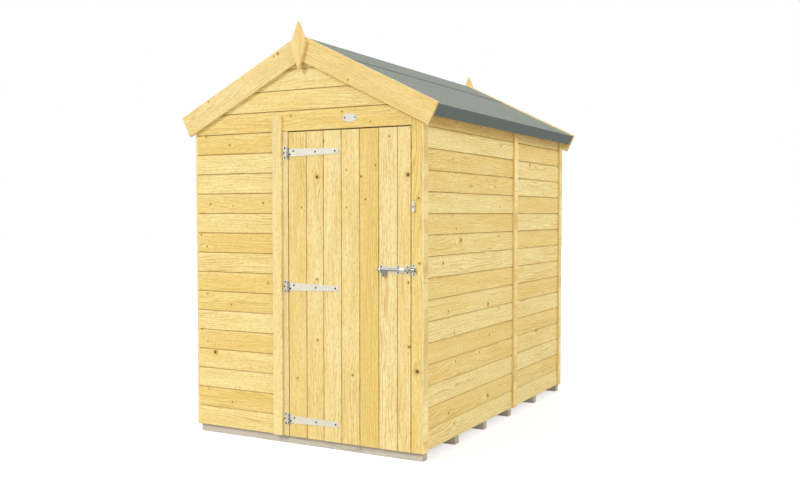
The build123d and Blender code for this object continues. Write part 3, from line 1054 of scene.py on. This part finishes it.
@dataclass
class DoorLeaf:
    """The door's upright boards with a V at each joint.

    Attributes:
        joints: Places of the joints from the hinge edge.
        tones: Tones of the boards from the hinge edge.
        knots: Knots at known places.
        chance: Chance of a knot at each free place of a board.
        bevel: Width of the bevel on each side of a V.
        edge_bevel: Width of the bevel on the leaf's own edges.
        shrink: Open joint between two boards.
    """

    joints: tuple[float, ...] = (114 * MM, 221.5 * MM, 332.5 * MM, 443.5 * MM, 557 * MM, 665.7 * MM)
    tones: tuple[Tone, ...] = (Tone.WARM, Tone.STRAW, Tone.PALE, Tone.STRAW, Tone.AMBER, Tone.SAP, Tone.STRAW)
    knots: tuple[Knot, ...] = ()
    chance: float = 0.12
    bevel: float = 3.6 * MM
    edge_bevel: float = 1 * MM
    shrink: float = 1.2 * MM

    def build(self, finish: Material, draws: Draws) -> Object:
        """Builds the leaf's boards.

        Args:
            finish: Their material.
            draws: Seeded random numbers.

        Returns:
            The leaf.
        """
        low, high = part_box("door_leaf")
        back, face = -high.y, -low.y
        edges = [low.x, *[low.x + joint for joint in self.joints], high.x]
        last = len(self.tones) - 1
        mesh = TimberMesh(draws, self.knots, self.chance)
        for i, tone in enumerate(self.tones):
            left = edges[i] + (self.shrink / 2 if i else 0)
            right = edges[i + 1] - (self.shrink / 2 if i < last else 0)
            left_bevel = self.bevel if i else self.edge_bevel
            right_bevel = self.bevel if i < last else self.edge_bevel
            section = [
                (left, back),
                (right, back),
                (right, face - right_bevel),
                (right - right_bevel, face),
                (left + left_bevel, face),
                (left, face - left_bevel),
            ]
            mesh.run(section, (low.z, high.z), UPRIGHT_FRONT, tone.value, joint_depth=2 * self.bevel)
        return dress(mesh.build("door_leaf_boards"), finish, Body.DOOR, "wall_timber", "door_leaf")


@dataclass
class Decking:
    """Boards of the floor and the roof, which run from front to rear side by side.

    Attributes:
        cover: Width that a board covers.
        gap: Open joint between two boards.
        ease: Width of the eased edges.
        tones: Tones that the boards are drawn from.
    """

    cover: float = 110 * MM
    gap: float = 0.8 * MM
    ease: float = 1.2 * MM
    tones: tuple[Tone, ...] = (Tone.PALE, Tone.STRAW, Tone.WARM)

    def build(self, finish: Material, draws: Draws, roof: RoofPlanes) -> None:
        """Lays the floor and both slopes of the roof.

        Args:
            finish: Material of the boards.
            draws: Seeded random numbers.
            roof: The planes of the roof.
        """
        low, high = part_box("floor_boards")
        floor = self.lay("floor_boards", FLOOR, (-high.x, -low.x), (low.z, high.z), (), draws)
        dress(floor, finish, Body.SHED, "floor_timber", "floor_boards")
        for hand, side in HANDS:
            node = f"roof_boards_{side}"
            axes = roof.axes(hand)
            ridge = Vector((0, 0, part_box(node)[1].z))
            top = ridge.dot(axes.out)
            eaves = max(corner.dot(axes.across) for corner in corners_of(node))
            width = (ridge.dot(axes.across) - roof.board, eaves)
            cuts = ((Vector((0, 0, 0)), Vector((-hand, 0, 0))),)
            slope = self.lay(node, axes, width, (top - roof.board, top), cuts, draws)
            dress(slope, finish, Body.SHED, "roof_timber", node)

    def lay(self, node: str, axes: Axes, width: Pair, depth: Pair, cuts: Cuts, draws: Draws) -> Object:
        """Lays the boards of one node.

        Args:
            node: The node that they replace.
            axes: Directions of the boards.
            width: Where the deck starts and ends across the boards.
            depth: Its back and its face.
            cuts: Planes that cut it.
            draws: Seeded random numbers.

        Returns:
            The deck.
        """
        ends = tuple(sorted(corner.dot(axes.along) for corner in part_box(node)))
        mesh = TimberMesh(draws)
        count = math.ceil((width[1] - width[0]) / self.cover - SLIVER)
        for i in range(count):
            near = width[0] + i * self.cover
            far = min(near + self.cover - self.gap, width[1])
            section = [(near, depth[0]), (far, depth[0]), (far, depth[1]), (near, depth[1])]
            mesh.run(section, ends, axes, draws.choice(self.tones).value, cuts, self.ease)
        return mesh.build(f"{node}_deck")


@dataclass
class SawnPieces:
    """Timbers with the outline of their node, with eased edges and a grain of their own.

    Attributes:
        node: The node that they replace.
        body: The body that they ride on.
        tones: Tones that the pieces take in turn.
        grain: Direction of the grain, or None to follow each piece's longest edge.
        face: Direction that the face looks.
        knots: Knots at known places.
        ease: Width of the eased edges.
        chance: Chance of a knot at each free place.
        tone_drift: How far a piece's tone may lie from the one it is given.
        facing: Least part of the face's direction that is square to the grain. With less, up is taken.
    """

    node: str
    body: Body = Body.SHED
    tones: tuple[Tone, ...] = (Tone.STRAW,)
    grain: Vector | None = None
    face: Vector = field(default_factory=lambda: -Y_AXIS)
    knots: tuple[Knot, ...] = ()
    ease: float = 1.2 * MM
    chance: float = 0.25
    tone_drift: float = 0.05
    facing: float = 0.3

    def build(self, finish: Material, slot: str, draws: Draws) -> Object:
        """Builds the pieces.

        Args:
            finish: Their material.
            slot: The record's slot.
            draws: Seeded random numbers.

        Returns:
            One object that holds them all.
        """
        mesh = TimberMesh(draws, self.knots, self.chance)
        for i, timber in enumerate(self.timbers()):
            drift = draws.uniform(-self.tone_drift, self.tone_drift)
            tone = self.tones[i % len(self.tones)].value + drift
            mesh.take(timber, self.axes_of(timber), tone, self.ease)
            timber.free()
        return dress(mesh.build(f"{self.node}_timber"), finish, self.body, slot, self.node)

    def timbers(self) -> list[Shape]:
        """Copies the separate timbers of the node.

        Returns:
            A shape of its own for each.
        """
        whole = bmesh.new()
        whole.from_mesh(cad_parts[self.node].data)
        bmesh.ops.remove_doubles(whole, verts=whole.verts, dist=1e-6)
        bmesh.ops.dissolve_limit(whole, angle_limit=0.01, verts=whole.verts, edges=whole.edges)
        left = set(whole.faces)
        found = []
        for first in whole.faces:
            if first not in left:
                continue
            left.discard(first)
            island = [first]
            for face in island:
                for edge in face.edges:
                    fresh = [other for other in edge.link_faces if other in left]
                    left.difference_update(fresh)
                    island += fresh
            timber = bmesh.new()
            copies = {}
            for face in island:
                for vert in face.verts:
                    if vert not in copies:
                        copies[vert] = timber.verts.new(vert.co)
                timber.faces.new([copies[vert] for vert in face.verts])
            found.append(timber)
        whole.free()
        return found

    def axes_of(self, timber: Shape) -> Axes:
        """Directions of one timber.

        Args:
            timber: The timber.

        Returns:
            Its axes, along the grain or its longest edge.
        """
        longest = max(timber.edges, key=lambda edge: edge.calc_length())
        along = self.grain or (longest.verts[1].co - longest.verts[0].co).normalized()
        out = self.face - along * self.face.dot(along)
        if out.length < self.facing:
            out = Z_AXIS - along * along.z
        out = out.normalized()
        return Axes(along, out.cross(along), out)


@dataclass
class ScrewHeads:
    """Cross-recessed screw heads on the ironmongery.

    Attributes:
        name: Name of the piece.
        body: The body that they ride on.
        places: Centre of each head on the plate's face.
        radius: Radius of a head.
        rise: How far it stands above the plate.
        recess: Depth of the cross.
        arm: Outline of one arm of the cross, as angles in degrees and shares of the radius.
    """

    name: str
    body: Body
    places: list[Vector]
    radius: float
    rise: float = 0.7 * MM
    recess: float = 1.1 * MM
    arm: tuple[Pair, ...] = ((-9, 0.5), (0, 0.54), (9, 0.5), (28, 0.22), (45, 0.17), (62, 0.22))

    def build(self, finish: Material, draws: Draws) -> Object:
        """Builds the heads.

        Args:
            finish: Their material.
            draws: Seeded random numbers for how each screw is turned.

        Returns:
            One object that holds them all.
        """
        heads = bmesh.new()
        points = 4 * len(self.arm)
        for place in self.places:
            turn = draws.uniform(0, 90)
            star = [(turn + 90 * quarter + angle, part) for quarter in range(4) for angle, part in self.arm]
            circle = [turn + 360 / points * (i - 1) for i in range(points)]
            levels = [([(angle, 1.0) for angle in circle], 0.0)]
            levels += [([(angle, 0.94) for angle in circle], 0.5 * self.rise)]
            levels += [([(angle, 0.72) for angle in circle], self.rise)]
            levels += [(star, self.rise), (star, self.rise - self.recess)]
            loops = [self.loop(heads, place, outline, rise) for outline, rise in levels]
            skin(heads, loops)
            heads.faces.new(loops[-1])
        return dress(formed(self.name, heads), finish, self.body, "galvanised_steel")

    def loop(self, heads: Shape, place: Vector, outline: list[Pair], rise: float) -> Loop:
        """Adds one loop of a head's points.

        Args:
            heads: The shape.
            place: Centre of the head.
            outline: Angle in degrees and share of the radius of each point.
            rise: How far the loop stands out of the plate.

        Returns:
            The loop's points.
        """
        made = []
        for angle, part in outline:
            turn = math.radians(angle)
            flat = Vector((math.cos(turn), 0, math.sin(turn))) * self.radius * part
            made.append(heads.verts.new(place + flat - Y_AXIS * rise))
        return made


@dataclass
class BarrelSleeves:
    """The rolled knuckles of the hinges, with a rounded lip at both ends.

    Attributes:
        name: Name of the piece.
        body: The body that they ride on.
        centres: Middle of each knuckle.
        length: Length of a knuckle.
        radius: Radius of the barrel, a hair over the solid one.
        lip: Rounding of the ends.
        sides: Flats round a barrel.
    """

    name: str
    body: Body
    centres: list[Vector]
    length: float = 19 * MM
    radius: float = 5.6 * MM
    lip: float = 1 * MM
    sides: int = 28

    def build(self, finish: Material) -> Object:
        """Builds the sleeves.

        Args:
            finish: Their material.

        Returns:
            One object that holds them all.
        """
        half = self.length / 2
        profile = [(self.radius - 3 * self.lip, half), (self.radius - self.lip, half)]
        profile += [(self.radius - 0.3 * self.lip, half - 0.3 * self.lip), (self.radius, half - self.lip)]
        profile += [(radius, -height) for radius, height in reversed(profile)]
        turns = [math.tau * i / self.sides for i in range(self.sides)]
        sleeves = bmesh.new()
        for centre in self.centres:
            loops = []
            for radius, height in profile:
                around = [(radius * math.cos(turn), radius * math.sin(turn), height) for turn in turns]
                loops.append([sleeves.verts.new(centre + Vector(point)) for point in around])
            skin(sleeves, loops, smooth=True)
        return dress(formed(self.name, sleeves), finish, self.body, "galvanised_steel")


@dataclass
class Ironmongery:
    """T-hinges, pad bolt, keep, turn button and oval plate, with their screws.

    Attributes:
        hinge_plate: Thickness of the hinges' plates.
        axis_inset: How far the hinge axis lies beside the door's edge.
        barrel: Diameter of the solid barrels.
        barrel_clearance: Gap between a barrel and the butt's screw plate.
        knuckle_step: Distance from one knuckle to the next.
        strap_root: Height of a strap at the hinge.
        strap_screws: Screws of a strap, from the door's hinge edge and up from its centre line.
        butt_screws: Screws of a butt, from its edge beside the barrel and up from the centre line.
        bolt_plate: Thickness of the plates of the bolt and its keep.
        lug_places: Screws of the bolt plate from the door's latch edge.
        lug_spread: Height between the two screws of a lug.
        keep_spread: Height between the keep's screws.
        plate_spread: Distance between the oval plate's screws.
        hinge_head: Radius of the screw heads of the hinges.
        small_head: Radius of the screw heads of the bolt, the keep, the button and the plate.
    """

    hinge_plate: float = 2.5 * MM
    axis_inset: float = 2.5 * MM
    barrel: float = 11 * MM
    barrel_clearance: float = 1 * MM
    knuckle_step: float = 19.5 * MM
    strap_root: float = 44 * MM
    strap_screws: tuple[Pair, ...] = ((10, -10), (33, 8), (173, 0), (296, 0))
    butt_screws: tuple[Pair, ...] = ((-14, 25), (-14, -25), (-20, 0))
    bolt_plate: float = 2 * MM
    lug_places: tuple[float, ...] = (167 * MM, 70 * MM, 15 * MM)
    lug_spread: float = 30 * MM
    keep_spread: float = 46 * MM
    plate_spread: float = 62 * MM
    hinge_head: float = 5.2 * MM
    small_head: float = 4.2 * MM

    def paint(self, zinc: Material, shaded_coat: Material, plate: Material) -> None:
        """Gives the metal nodes their materials.

        Args:
            zinc: Zinc coat.
            shaded_coat: Zinc coat painted darker, as painted shade on the rod, hasp and staple.
            plate: The oval plate's metal.
        """
        coats = dict.fromkeys(("hinge_butts", "hinge_straps", "bolt_plate", "bolt_keep", "turn_button"), zinc)
        # The rod, hasp and staple take the darker zinc: painted shade.
        coats |= dict.fromkeys(("bolt_rod", "bolt_hasp", "keep_staple"), shaded_coat)
        coats["oval_plate"] = plate
        for name, coat in coats.items():
            paint_node(name, coat)

    def hinge_heights(self) -> tuple[float, float, float]:
        """Heights of the hinges' centre lines.

        Returns:
            The heights from the lowest up.
        """
        low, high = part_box("hinge_straps")
        lower = low.z + self.strap_root / 2
        upper = high.z - self.strap_root / 2
        return lower, (lower + upper) / 2, upper

    def hinge_screws(self, start: float, screws: tuple[Pair, ...]) -> list[Vector]:
        """Places of the screws on one side of all three hinges.

        Args:
            start: Where the screws are counted from.
            screws: Millimetres from there and up from the centre line.

        Returns:
            The places.
        """
        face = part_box("door_leaf")[0].y - self.hinge_plate
        spots = [(height, along, up) for height in self.hinge_heights() for along, up in screws]
        return [Vector((start + along * MM, face, height + up * MM)) for height, along, up in spots]

    def build(self, steel: Material, draws: Draws) -> None:
        """Builds all the screw heads.

        Args:
            steel: Their material.
            draws: Seeded random numbers.
        """
        leaf_low, leaf_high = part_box("door_leaf")
        butt_edge = leaf_low.x - (self.axis_inset + self.barrel / 2 + self.barrel_clearance)
        bolt_face = leaf_low.y - self.bolt_plate
        rod_height = middle("bolt_rod").z

        def pair(x: float, spread: float) -> list[Vector]:
            """Two screws, one below and one above the rod."""
            return [Vector((x, bolt_face, rod_height + hand * spread / 2)) for hand, _ in HANDS]

        straps = self.hinge_screws(leaf_low.x, self.strap_screws)
        butts = self.hinge_screws(butt_edge, self.butt_screws)
        lugs = [screw for place in self.lug_places for screw in pair(leaf_high.x - place, self.lug_spread)]
        keeps = pair(middle("bolt_keep").x, self.keep_spread)
        button = middle("turn_button")
        button.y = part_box("turn_button")[0].y
        oval = middle("oval_plate")
        oval_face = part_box("oval_plate")[0].y
        ovals = [Vector((oval.x + hand * self.plate_spread / 2, oval_face, oval.z)) for hand, _ in HANDS]
        groups = (
            ScrewHeads("strap_screws", Body.DOOR, straps, self.hinge_head),
            ScrewHeads("butt_screws", Body.SHED, butts, self.hinge_head),
            ScrewHeads("bolt_screws", Body.DOOR, lugs, self.small_head),
            ScrewHeads("keep_screws", Body.SHED, keeps, self.small_head),
            ScrewHeads("button_screw", Body.BUTTON, [button], self.small_head),
            ScrewHeads("plate_screws", Body.SHED, ovals, self.small_head),
        )
        for group in groups:
            group.build(steel, draws)

    def sleeves(self, shaded_coat: Material) -> None:
        """Builds the rolled knuckles of the hinges in the darker zinc, as painted shade on the barrels.

        Args:
            shaded_coat: Their material, the zinc coat painted darker as painted shade.
        """
        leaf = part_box("door_leaf")[0]
        axis = Vector((leaf.x - self.axis_inset, leaf.y - self.barrel / 2, 0))
        middles = [axis + Z_AXIS * height for height in self.hinge_heights()]
        outer = [centre + Z_AXIS * self.knuckle_step * hand for centre in middles for hand, _ in HANDS]
        BarrelSleeves("strap_knuckles", Body.DOOR, middles).build(shaded_coat)
        BarrelSleeves("butt_knuckles", Body.SHED, outer).build(shaded_coat)


@dataclass
class FeltLapShadows:
    """A dark strip along both lower edges of the ridge felt: painted shadow of the lap.

    Attributes:
        roof: The planes of the roof.
        width: Width of the strip.
        felt: Thickness of the felt that it closes.
        section: Its outline, as shares of the width and of the felt's thickness.
    """

    roof: RoofPlanes
    width: float = 7 * MM
    felt: float = 2.5 * MM
    section: tuple[Pair, ...] = ((0.0, 0.0), (0.0, 0.95), (0.45, 0.8), (0.85, 0.35), (1.0, 0.0))

    def build(self, finish: Material) -> Object:
        """Builds both strips.

        Args:
            finish: Their material.

        Returns:
            One object that holds them.
        """
        shadow_strips = bmesh.new()
        for hand, side in HANDS:
            axes = self.roof.axes(hand)
            spots = [axes.place(corner) for corner in corners_of(f"ridge_felt_{side}")]
            edge = max(spot.y for spot in spots)
            foot = max(spot.z for spot in spots) - self.felt
            outline = [(edge + run * self.width, foot + rise * self.felt) for run, rise in self.section]
            ends = (min(spot.x for spot in spots), max(spot.x for spot in spots))
            extrude(shadow_strips, outline, ends, axes)
        return dress(formed("ridge_felt_beads", shadow_strips), finish, Body.SHED, "roofing_felt")


@dataclass
class Studio:
    """White studio: floor, world, lamps and the camera at the photograph's angle.

    Attributes:
        camera_place: Where the camera stands.
        yaw: How far it turns to the left of straight ahead, in degrees.
        pitch: How far it looks down, in degrees.
        lens: Its focal length in millimetres.
        sensor: Width of its sensor in millimetres.
        sky: Strength of the even light.
        lamps: Each lamp's name, the direction its light comes from, its strength and its width in degrees.
        floor_half: Half the width of the floor.
        floor_grey: Brightness of the floor.
        floor_glow: How much of the background's white is added to the floor where it is seen.
    """

    camera_place: tuple[float, float, float] = (2.7640, -5.1088, 1.2501)
    yaw: float = 28.300
    pitch: float = 2.263
    lens: float = 40.87
    sensor: float = 36.0
    sky: float = 0.5
    lamps: tuple[tuple[str, tuple[float, float, float], float, float], ...] = (
        ("key_lamp", (-0.5, -0.72, 0.66), 1.75, 18),
        ("side_lamp", (0.86, -0.22, 0.6), 1.35, 36),
        ("rear_lamp", (-0.4, 0.8, 0.5), 0.9, 50),
    )
    floor_half: float = 30.0
    floor_grey: float = 0.6
    floor_glow: float = 0.58

    def build(self) -> None:
        """Builds the whole studio."""
        bpy.context.scene.view_settings.view_transform = "Standard"
        self.add_camera()
        self.add_world()
        self.add_floor()
        for name, source, strength, softness in self.lamps:
            data = bpy.data.lights.new(name, "SUN")
            data.energy = strength
            data.angle = math.radians(softness)
            placed(name, data).rotation_euler = Vector(source).to_track_quat("Z", "Y").to_euler()

    def add_camera(self) -> None:
        """Adds the camera."""
        data = bpy.data.cameras.new("photo_camera")
        data.lens = self.lens
        data.sensor_width = self.sensor
        camera = placed("photo_camera", data)
        camera.location = self.camera_place
        camera.rotation_euler = Euler((math.radians(90 - self.pitch), 0, math.radians(self.yaw)))
        bpy.context.scene.camera = camera

    def seen_share(self, wiring: Wiring) -> Socket:
        """How far a ray is one that sees the background as white.

        Args:
            wiring: The tree's wiring.

        Returns:
            1 for camera, glossy and transmission rays, and 0 for others.
        """
        rays = wiring.node("ShaderNodeLightPath").outputs
        seen = wiring.math("MAXIMUM", rays["Is Camera Ray"], rays["Is Glossy Ray"])
        return wiring.math("MAXIMUM", seen, rays["Is Transmission Ray"])

    def add_world(self) -> None:
        """Adds the even light, which looks white."""
        world = bpy.data.worlds.new("studio_world")
        wiring = cleared(world)
        mix = wiring.node("ShaderNodeMixShader")
        wiring.feed(mix.inputs[0], self.seen_share(wiring))
        for socket, strength in ((mix.inputs[1], self.sky), (mix.inputs[2], 1.0)):
            light = wiring.node("ShaderNodeBackground")
            light.inputs["Color"].default_value = (1, 1, 1, 1)
            light.inputs["Strength"].default_value = strength
            wiring.feed(socket, light.outputs[0])
        wiring.feed(wiring.node("ShaderNodeOutputWorld").inputs["Surface"], mix.outputs[0])
        bpy.context.scene.world = world

    def add_floor(self) -> None:
        """Adds the floor, white with the object's soft shadow."""
        half = self.floor_half
        mesh = bpy.data.meshes.new("studio_floor")
        corners = [(-half, -half, 0), (half, -half, 0), (half, half, 0), (-half, half, 0)]
        mesh.from_pydata(corners, [], [(0, 1, 2, 3)])
        floor = placed("studio_floor", mesh)
        white = bpy.data.materials.new("floor_white")
        wiring = cleared(white)
        matt = wiring.node("ShaderNodeBsdfDiffuse")
        matt.inputs["Color"].default_value = (self.floor_grey, self.floor_grey, self.floor_grey, 1)
        glow = wiring.node("ShaderNodeEmission")
        wiring.feed(glow.inputs["Strength"], wiring.times(self.seen_share(wiring), self.floor_glow))
        both = wiring.node("ShaderNodeAddShader")
        wiring.feed(both.inputs[0], matt.outputs[0])
        wiring.feed(both.inputs[1], glow.outputs[0])
        wiring.feed(wiring.node("ShaderNodeOutputMaterial").inputs["Surface"], both.outputs[0])
        mesh.materials.append(white)


def front_knots(node: str, spots: Spots) -> tuple[Knot, ...]:
    """Knots on a node's front face, from their X, height and radius in millimetres."""
    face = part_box(node)[0].y
    return tuple(Knot(Vector((x * MM, face, z * MM)), radius * MM) for x, z, radius in spots)


def side_knots(node: str, spots: Spots) -> tuple[Knot, ...]:
    """Knots on a node's right-hand face, from their Y, height and radius in millimetres."""
    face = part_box(node)[1].x
    return tuple(Knot(Vector((face, y * MM, z * MM)), radius * MM) for y, z, radius in spots)


SAP, PALE, STRAW, WARM = Tone.SAP, Tone.PALE, Tone.STRAW, Tone.WARM

FRONT_KNOTS = (
    *((-655, 1686, 4), (-486, 1634, 4.5), (-624, 1307, 4.5), (-258, 1311, 5), (-695, 1132, 4)),
    *((-653, 1067, 3.5), (-226, 874, 4), (-652, 795, 4), (-482, 743, 4.5), (-694, 589, 4)),
    *((-652, 525, 3.5), (-599, 466, 10), (-648, 252, 3.5), (-480, 192, 4.5)),
)
GABLE_KNOTS = ((-70, 1777, 4.5), (252, 1781, 4), (423, 1722, 4))
DOOR_KNOTS = (
    *((136, 1634, 5), (96, 1446, 9), (-4, 1286, 3.5), (278, 1479, 3.5), (366, 1444, 5), (452, 1500, 4)),
    *((392, 1326, 4.5), (278, 1285, 3.5), (532, 1643, 4), (640, 1447, 10), (395, 1002, 5), (94, 904, 5)),
    *((642, 906, 5), (96, 580, 5), (41, 410, 4.5), (-35, 365, 4.5), (313, 410, 4.5), (289, 349, 4)),
    *((396, 464, 11), (647, 581, 6), (592, 410, 4.5)),
)
JAMB_KNOTS = ((700, 1329, 5), (704, 1003, 5), (692, 460, 11))
SIDE_KNOTS = (
    *((-472, 1407, 5), (-126, 1412, 5), (-605, 1108, 10), (-50, 1118, 4.5), (-706, 1540, 3.5)),
    *((-664, 1469, 3.5), (-711, 1246, 4), (-662, 1172, 3.5), (-663, 1743, 4), (-30, 1660, 6)),
    *((-43, 1294, 4.5), (-344, 1742, 4), (-222, 726, 9), (-761, 735, 5), (-199, 544, 5)),
    *((-342, 460, 4.5), (-670, 456, 4.5), (-38, 684, 4.5), (-686, 611, 4.5), (-219, 190, 9)),
    *((-756, 190, 5), (-683, 119, 5)),
)
SIDE_REAR_KNOTS = (
    *((614, 1278, 4), (967, 1280, 4), (519, 1110, 4), (604, 480, 9), (738, 186, 5)),
    *((1010, 191, 5), (726, 728, 4), (1010, 731, 4), (616, 1744, 4)),
)
BARGE_KNOTS = ((-142, 2110, 6), (-168, 2098, 3.5), (-622, 1882, 4), (298, 1940, 4))
BEARER_KNOTS = ((350, 17, 5),)

FRONT_TONES = (PALE, WARM, PALE, STRAW, WARM, PALE, WARM, WARM, PALE, WARM, PALE, WARM, PALE, PALE, WARM)
GABLE_TONES = (WARM, STRAW, PALE, STRAW, WARM)
# The two top boards are warm, partly as painted shade under the eaves.
SIDE_TONES = (
    *(PALE, WARM, PALE, WARM, WARM, SAP, STRAW, WARM, SAP, STRAW, WARM, PALE),
    *(WARM, WARM, PALE, WARM, WARM),
)
SIDE_REAR_TONES = (
    *(SAP, WARM, SAP, STRAW, WARM, PALE, WARM, STRAW, PALE, WARM, PALE, WARM),
    *(PALE, PALE, WARM, STRAW),
)
REAR_TONES = (PALE, STRAW, WARM, PALE, WARM, STRAW, PALE, WARM, PALE, STRAW, WARM, PALE, STRAW)
MIXED_TONES = (PALE, STRAW, WARM)


@dataclass
class Shed:
    """The whole shed, dressed part by part.

    Attributes:
        seed: Seed of the random numbers.
        roof: The planes of the roof.
        hidden_chance: Chance of a knot at each free place of the walls that the photograph doesn't show.
    """

    seed: int = 26
    roof: RoofPlanes = field(default_factory=RoofPlanes)
    hidden_chance: float = 0.4

    def build(self) -> None:
        """Builds every part in order."""
        pine = PineFigure().build()
        mottle = FineMottle().build()
        wall = WALL_PINE.material(pine)
        self.walls(wall)
        door = DoorLeaf(knots=front_knots("front_wall_left", DOOR_KNOTS))
        door.build(DOOR_PINE.material(pine), self.draws(2))
        Decking().build(DECK_PINE.material(pine), self.draws(3), self.roof)
        self.trim(TRIM_PINE.material(pine), POST_PINE_SHADED.material(pine), wall)
        self.frames(FRAME_PINE.material(pine), BEARER_PINE.material(pine))
        self.felt(mottle)
        metal = Ironmongery()
        # The darker zinc is painted shade.
        shaded_coat = SHADED_ZINC.material(mottle)
        metal.paint(ZINC.material(mottle), shaded_coat, PLATE_METAL.material(mottle))
        metal.build(SCREW_STEEL.material(mottle), self.draws(6))
        metal.sleeves(shaded_coat)

    def draws(self, part: int) -> Draws:
        """Seeded random numbers of one part."""
        return random.Random(self.seed * 100 + part)

    def walls(self, pine: Material) -> None:
        """Builds the boarded walls.

        Args:
            pine: Their material.
        """
        draws = self.draws(1)
        front = front_knots("front_wall_left", FRONT_KNOTS)
        gable = front_knots("front_wall_left", GABLE_KNOTS)
        side = side_knots("right_wall_front", SIDE_KNOTS)
        side_rear = side_knots("right_wall_front", SIDE_REAR_KNOTS)
        walls = (
            ShiplapWall(FRONT, "front_wall_left", FRONT_TONES, front, roofed=False),
            ShiplapWall(FRONT, "front_gable", GABLE_TONES, gable),
            ShiplapWall(REAR, "rear_wall", REAR_TONES, chance=self.hidden_chance),
            ShiplapWall(RIGHT, "right_wall_front", SIDE_TONES, side),
            ShiplapWall(RIGHT, "right_wall_rear", SIDE_REAR_TONES, side_rear),
            ShiplapWall(LEFT, "left_wall_front", SIDE_REAR_TONES, chance=self.hidden_chance),
            ShiplapWall(LEFT, "left_wall_rear", SIDE_TONES, chance=self.hidden_chance),
        )
        for wall in walls:
            wall.build(pine, draws, self.roof)

    def trim(self, trim: Material, post: Material, wall: Material) -> None:
        """Builds strips, bargeboards, finials and the upright boards beside the door.

        Args:
            trim: Material of the trim.
            post: Material of the board that the hinges are screwed to, greyer as painted shade of the cover
                strip.
            wall: Material of the jamb board.
        """
        draws = self.draws(4)
        barge = front_knots("bargeboards_left", BARGE_KNOTS)
        jamb = front_knots("front_wall_left", JAMB_KNOTS)
        pieces = (
            SawnPieces("front_cover_strip", tones=(SAP,), grain=Z_AXIS, ease=2 * MM, chance=0.1),
            SawnPieces("side_cover_strips", tones=(SAP, PALE), grain=Z_AXIS, ease=2 * MM, chance=0.0),
            SawnPieces("bargeboards_left", tones=(SAP, STRAW), knots=barge, ease=2 * MM, chance=0.0),
            SawnPieces("bargeboards_right", tones=(WARM, SAP), knots=barge, ease=2 * MM, chance=0.0),
            SawnPieces("finials", tones=(STRAW,), grain=Z_AXIS, ease=1.5 * MM, chance=0.0),
        )
        for piece in pieces:
            piece.build(trim, "trim_timber", draws)
        # The hinge board takes the greyer pine: painted shade of the cover strip.
        hinge_board = SawnPieces("hinge_board", tones=(STRAW,), grain=Z_AXIS, chance=0.1)
        hinge_board.build(post, "wall_timber", draws)
        jamb_board = SawnPieces("jamb_board", tones=(WARM,), grain=Z_AXIS, knots=jamb, chance=0.0)
        jamb_board.build(wall, "wall_timber", draws)

    def frames(self, pine: Material, bearer: Material) -> None:
        """Builds the frames, beams, rails, ledges, braces and bearers.

        Args:
            pine: Material of the frames.
            bearer: Material of the bearers.
        """
        draws = self.draws(5)
        pieces = []
        for end in ("front", "rear", "side"):
            pieces.append(SawnPieces(f"{end}_frame_studs", tones=MIXED_TONES, grain=Z_AXIS))
            pieces.append(SawnPieces(f"{end}_frame_rails", tones=MIXED_TONES))
        for name in ("ridge_beam", "purlins", "eave_rails", "door_stop"):
            pieces.append(SawnPieces(name, tones=MIXED_TONES))
        for name in ("door_ledges", "door_braces"):
            pieces.append(SawnPieces(name, Body.DOOR, MIXED_TONES, face=Y_AXIS))
        for piece in pieces:
            piece.build(pine, "frame_timber", draws)
        knots = front_knots("bearers", BEARER_KNOTS)
        beams = SawnPieces("bearers", tones=(PALE, STRAW), grain=X_AXIS, knots=knots, ease=2 * MM, chance=0.0)
        beams.build(bearer, "bearer_timber", draws)

    def felt(self, mottle: Tree) -> None:
        """Gives the felt its materials.

        Args:
            mottle: The fine mottle's node group.
        """
        top = FELT_TOP.material(mottle)
        for _, side in HANDS:
            paint_node(f"roof_felt_{side}", top)
            paint_node(f"ridge_felt_{side}", top)
        paint_node("felt_edges", FELT_BAND_SHADED.material(mottle))
        # Dark strips along the ridge felt's lower edges: painted shadow of the lap.
        FeltLapShadows(self.roof).build(FELT_LAP_SHADOW.material(mottle))


def main() -> None:
    """Builds the shed and its studio."""
    logging.basicConfig(level=logging.INFO, format="%(name)s %(message)s")
    for name in ("Cube", "Light", "Camera"):
        if name in bpy.data.objects:
            bpy.data.objects.remove(bpy.data.objects[name])
    Shed().build()
    Studio().build()


if __name__ == "__main__":
    main()
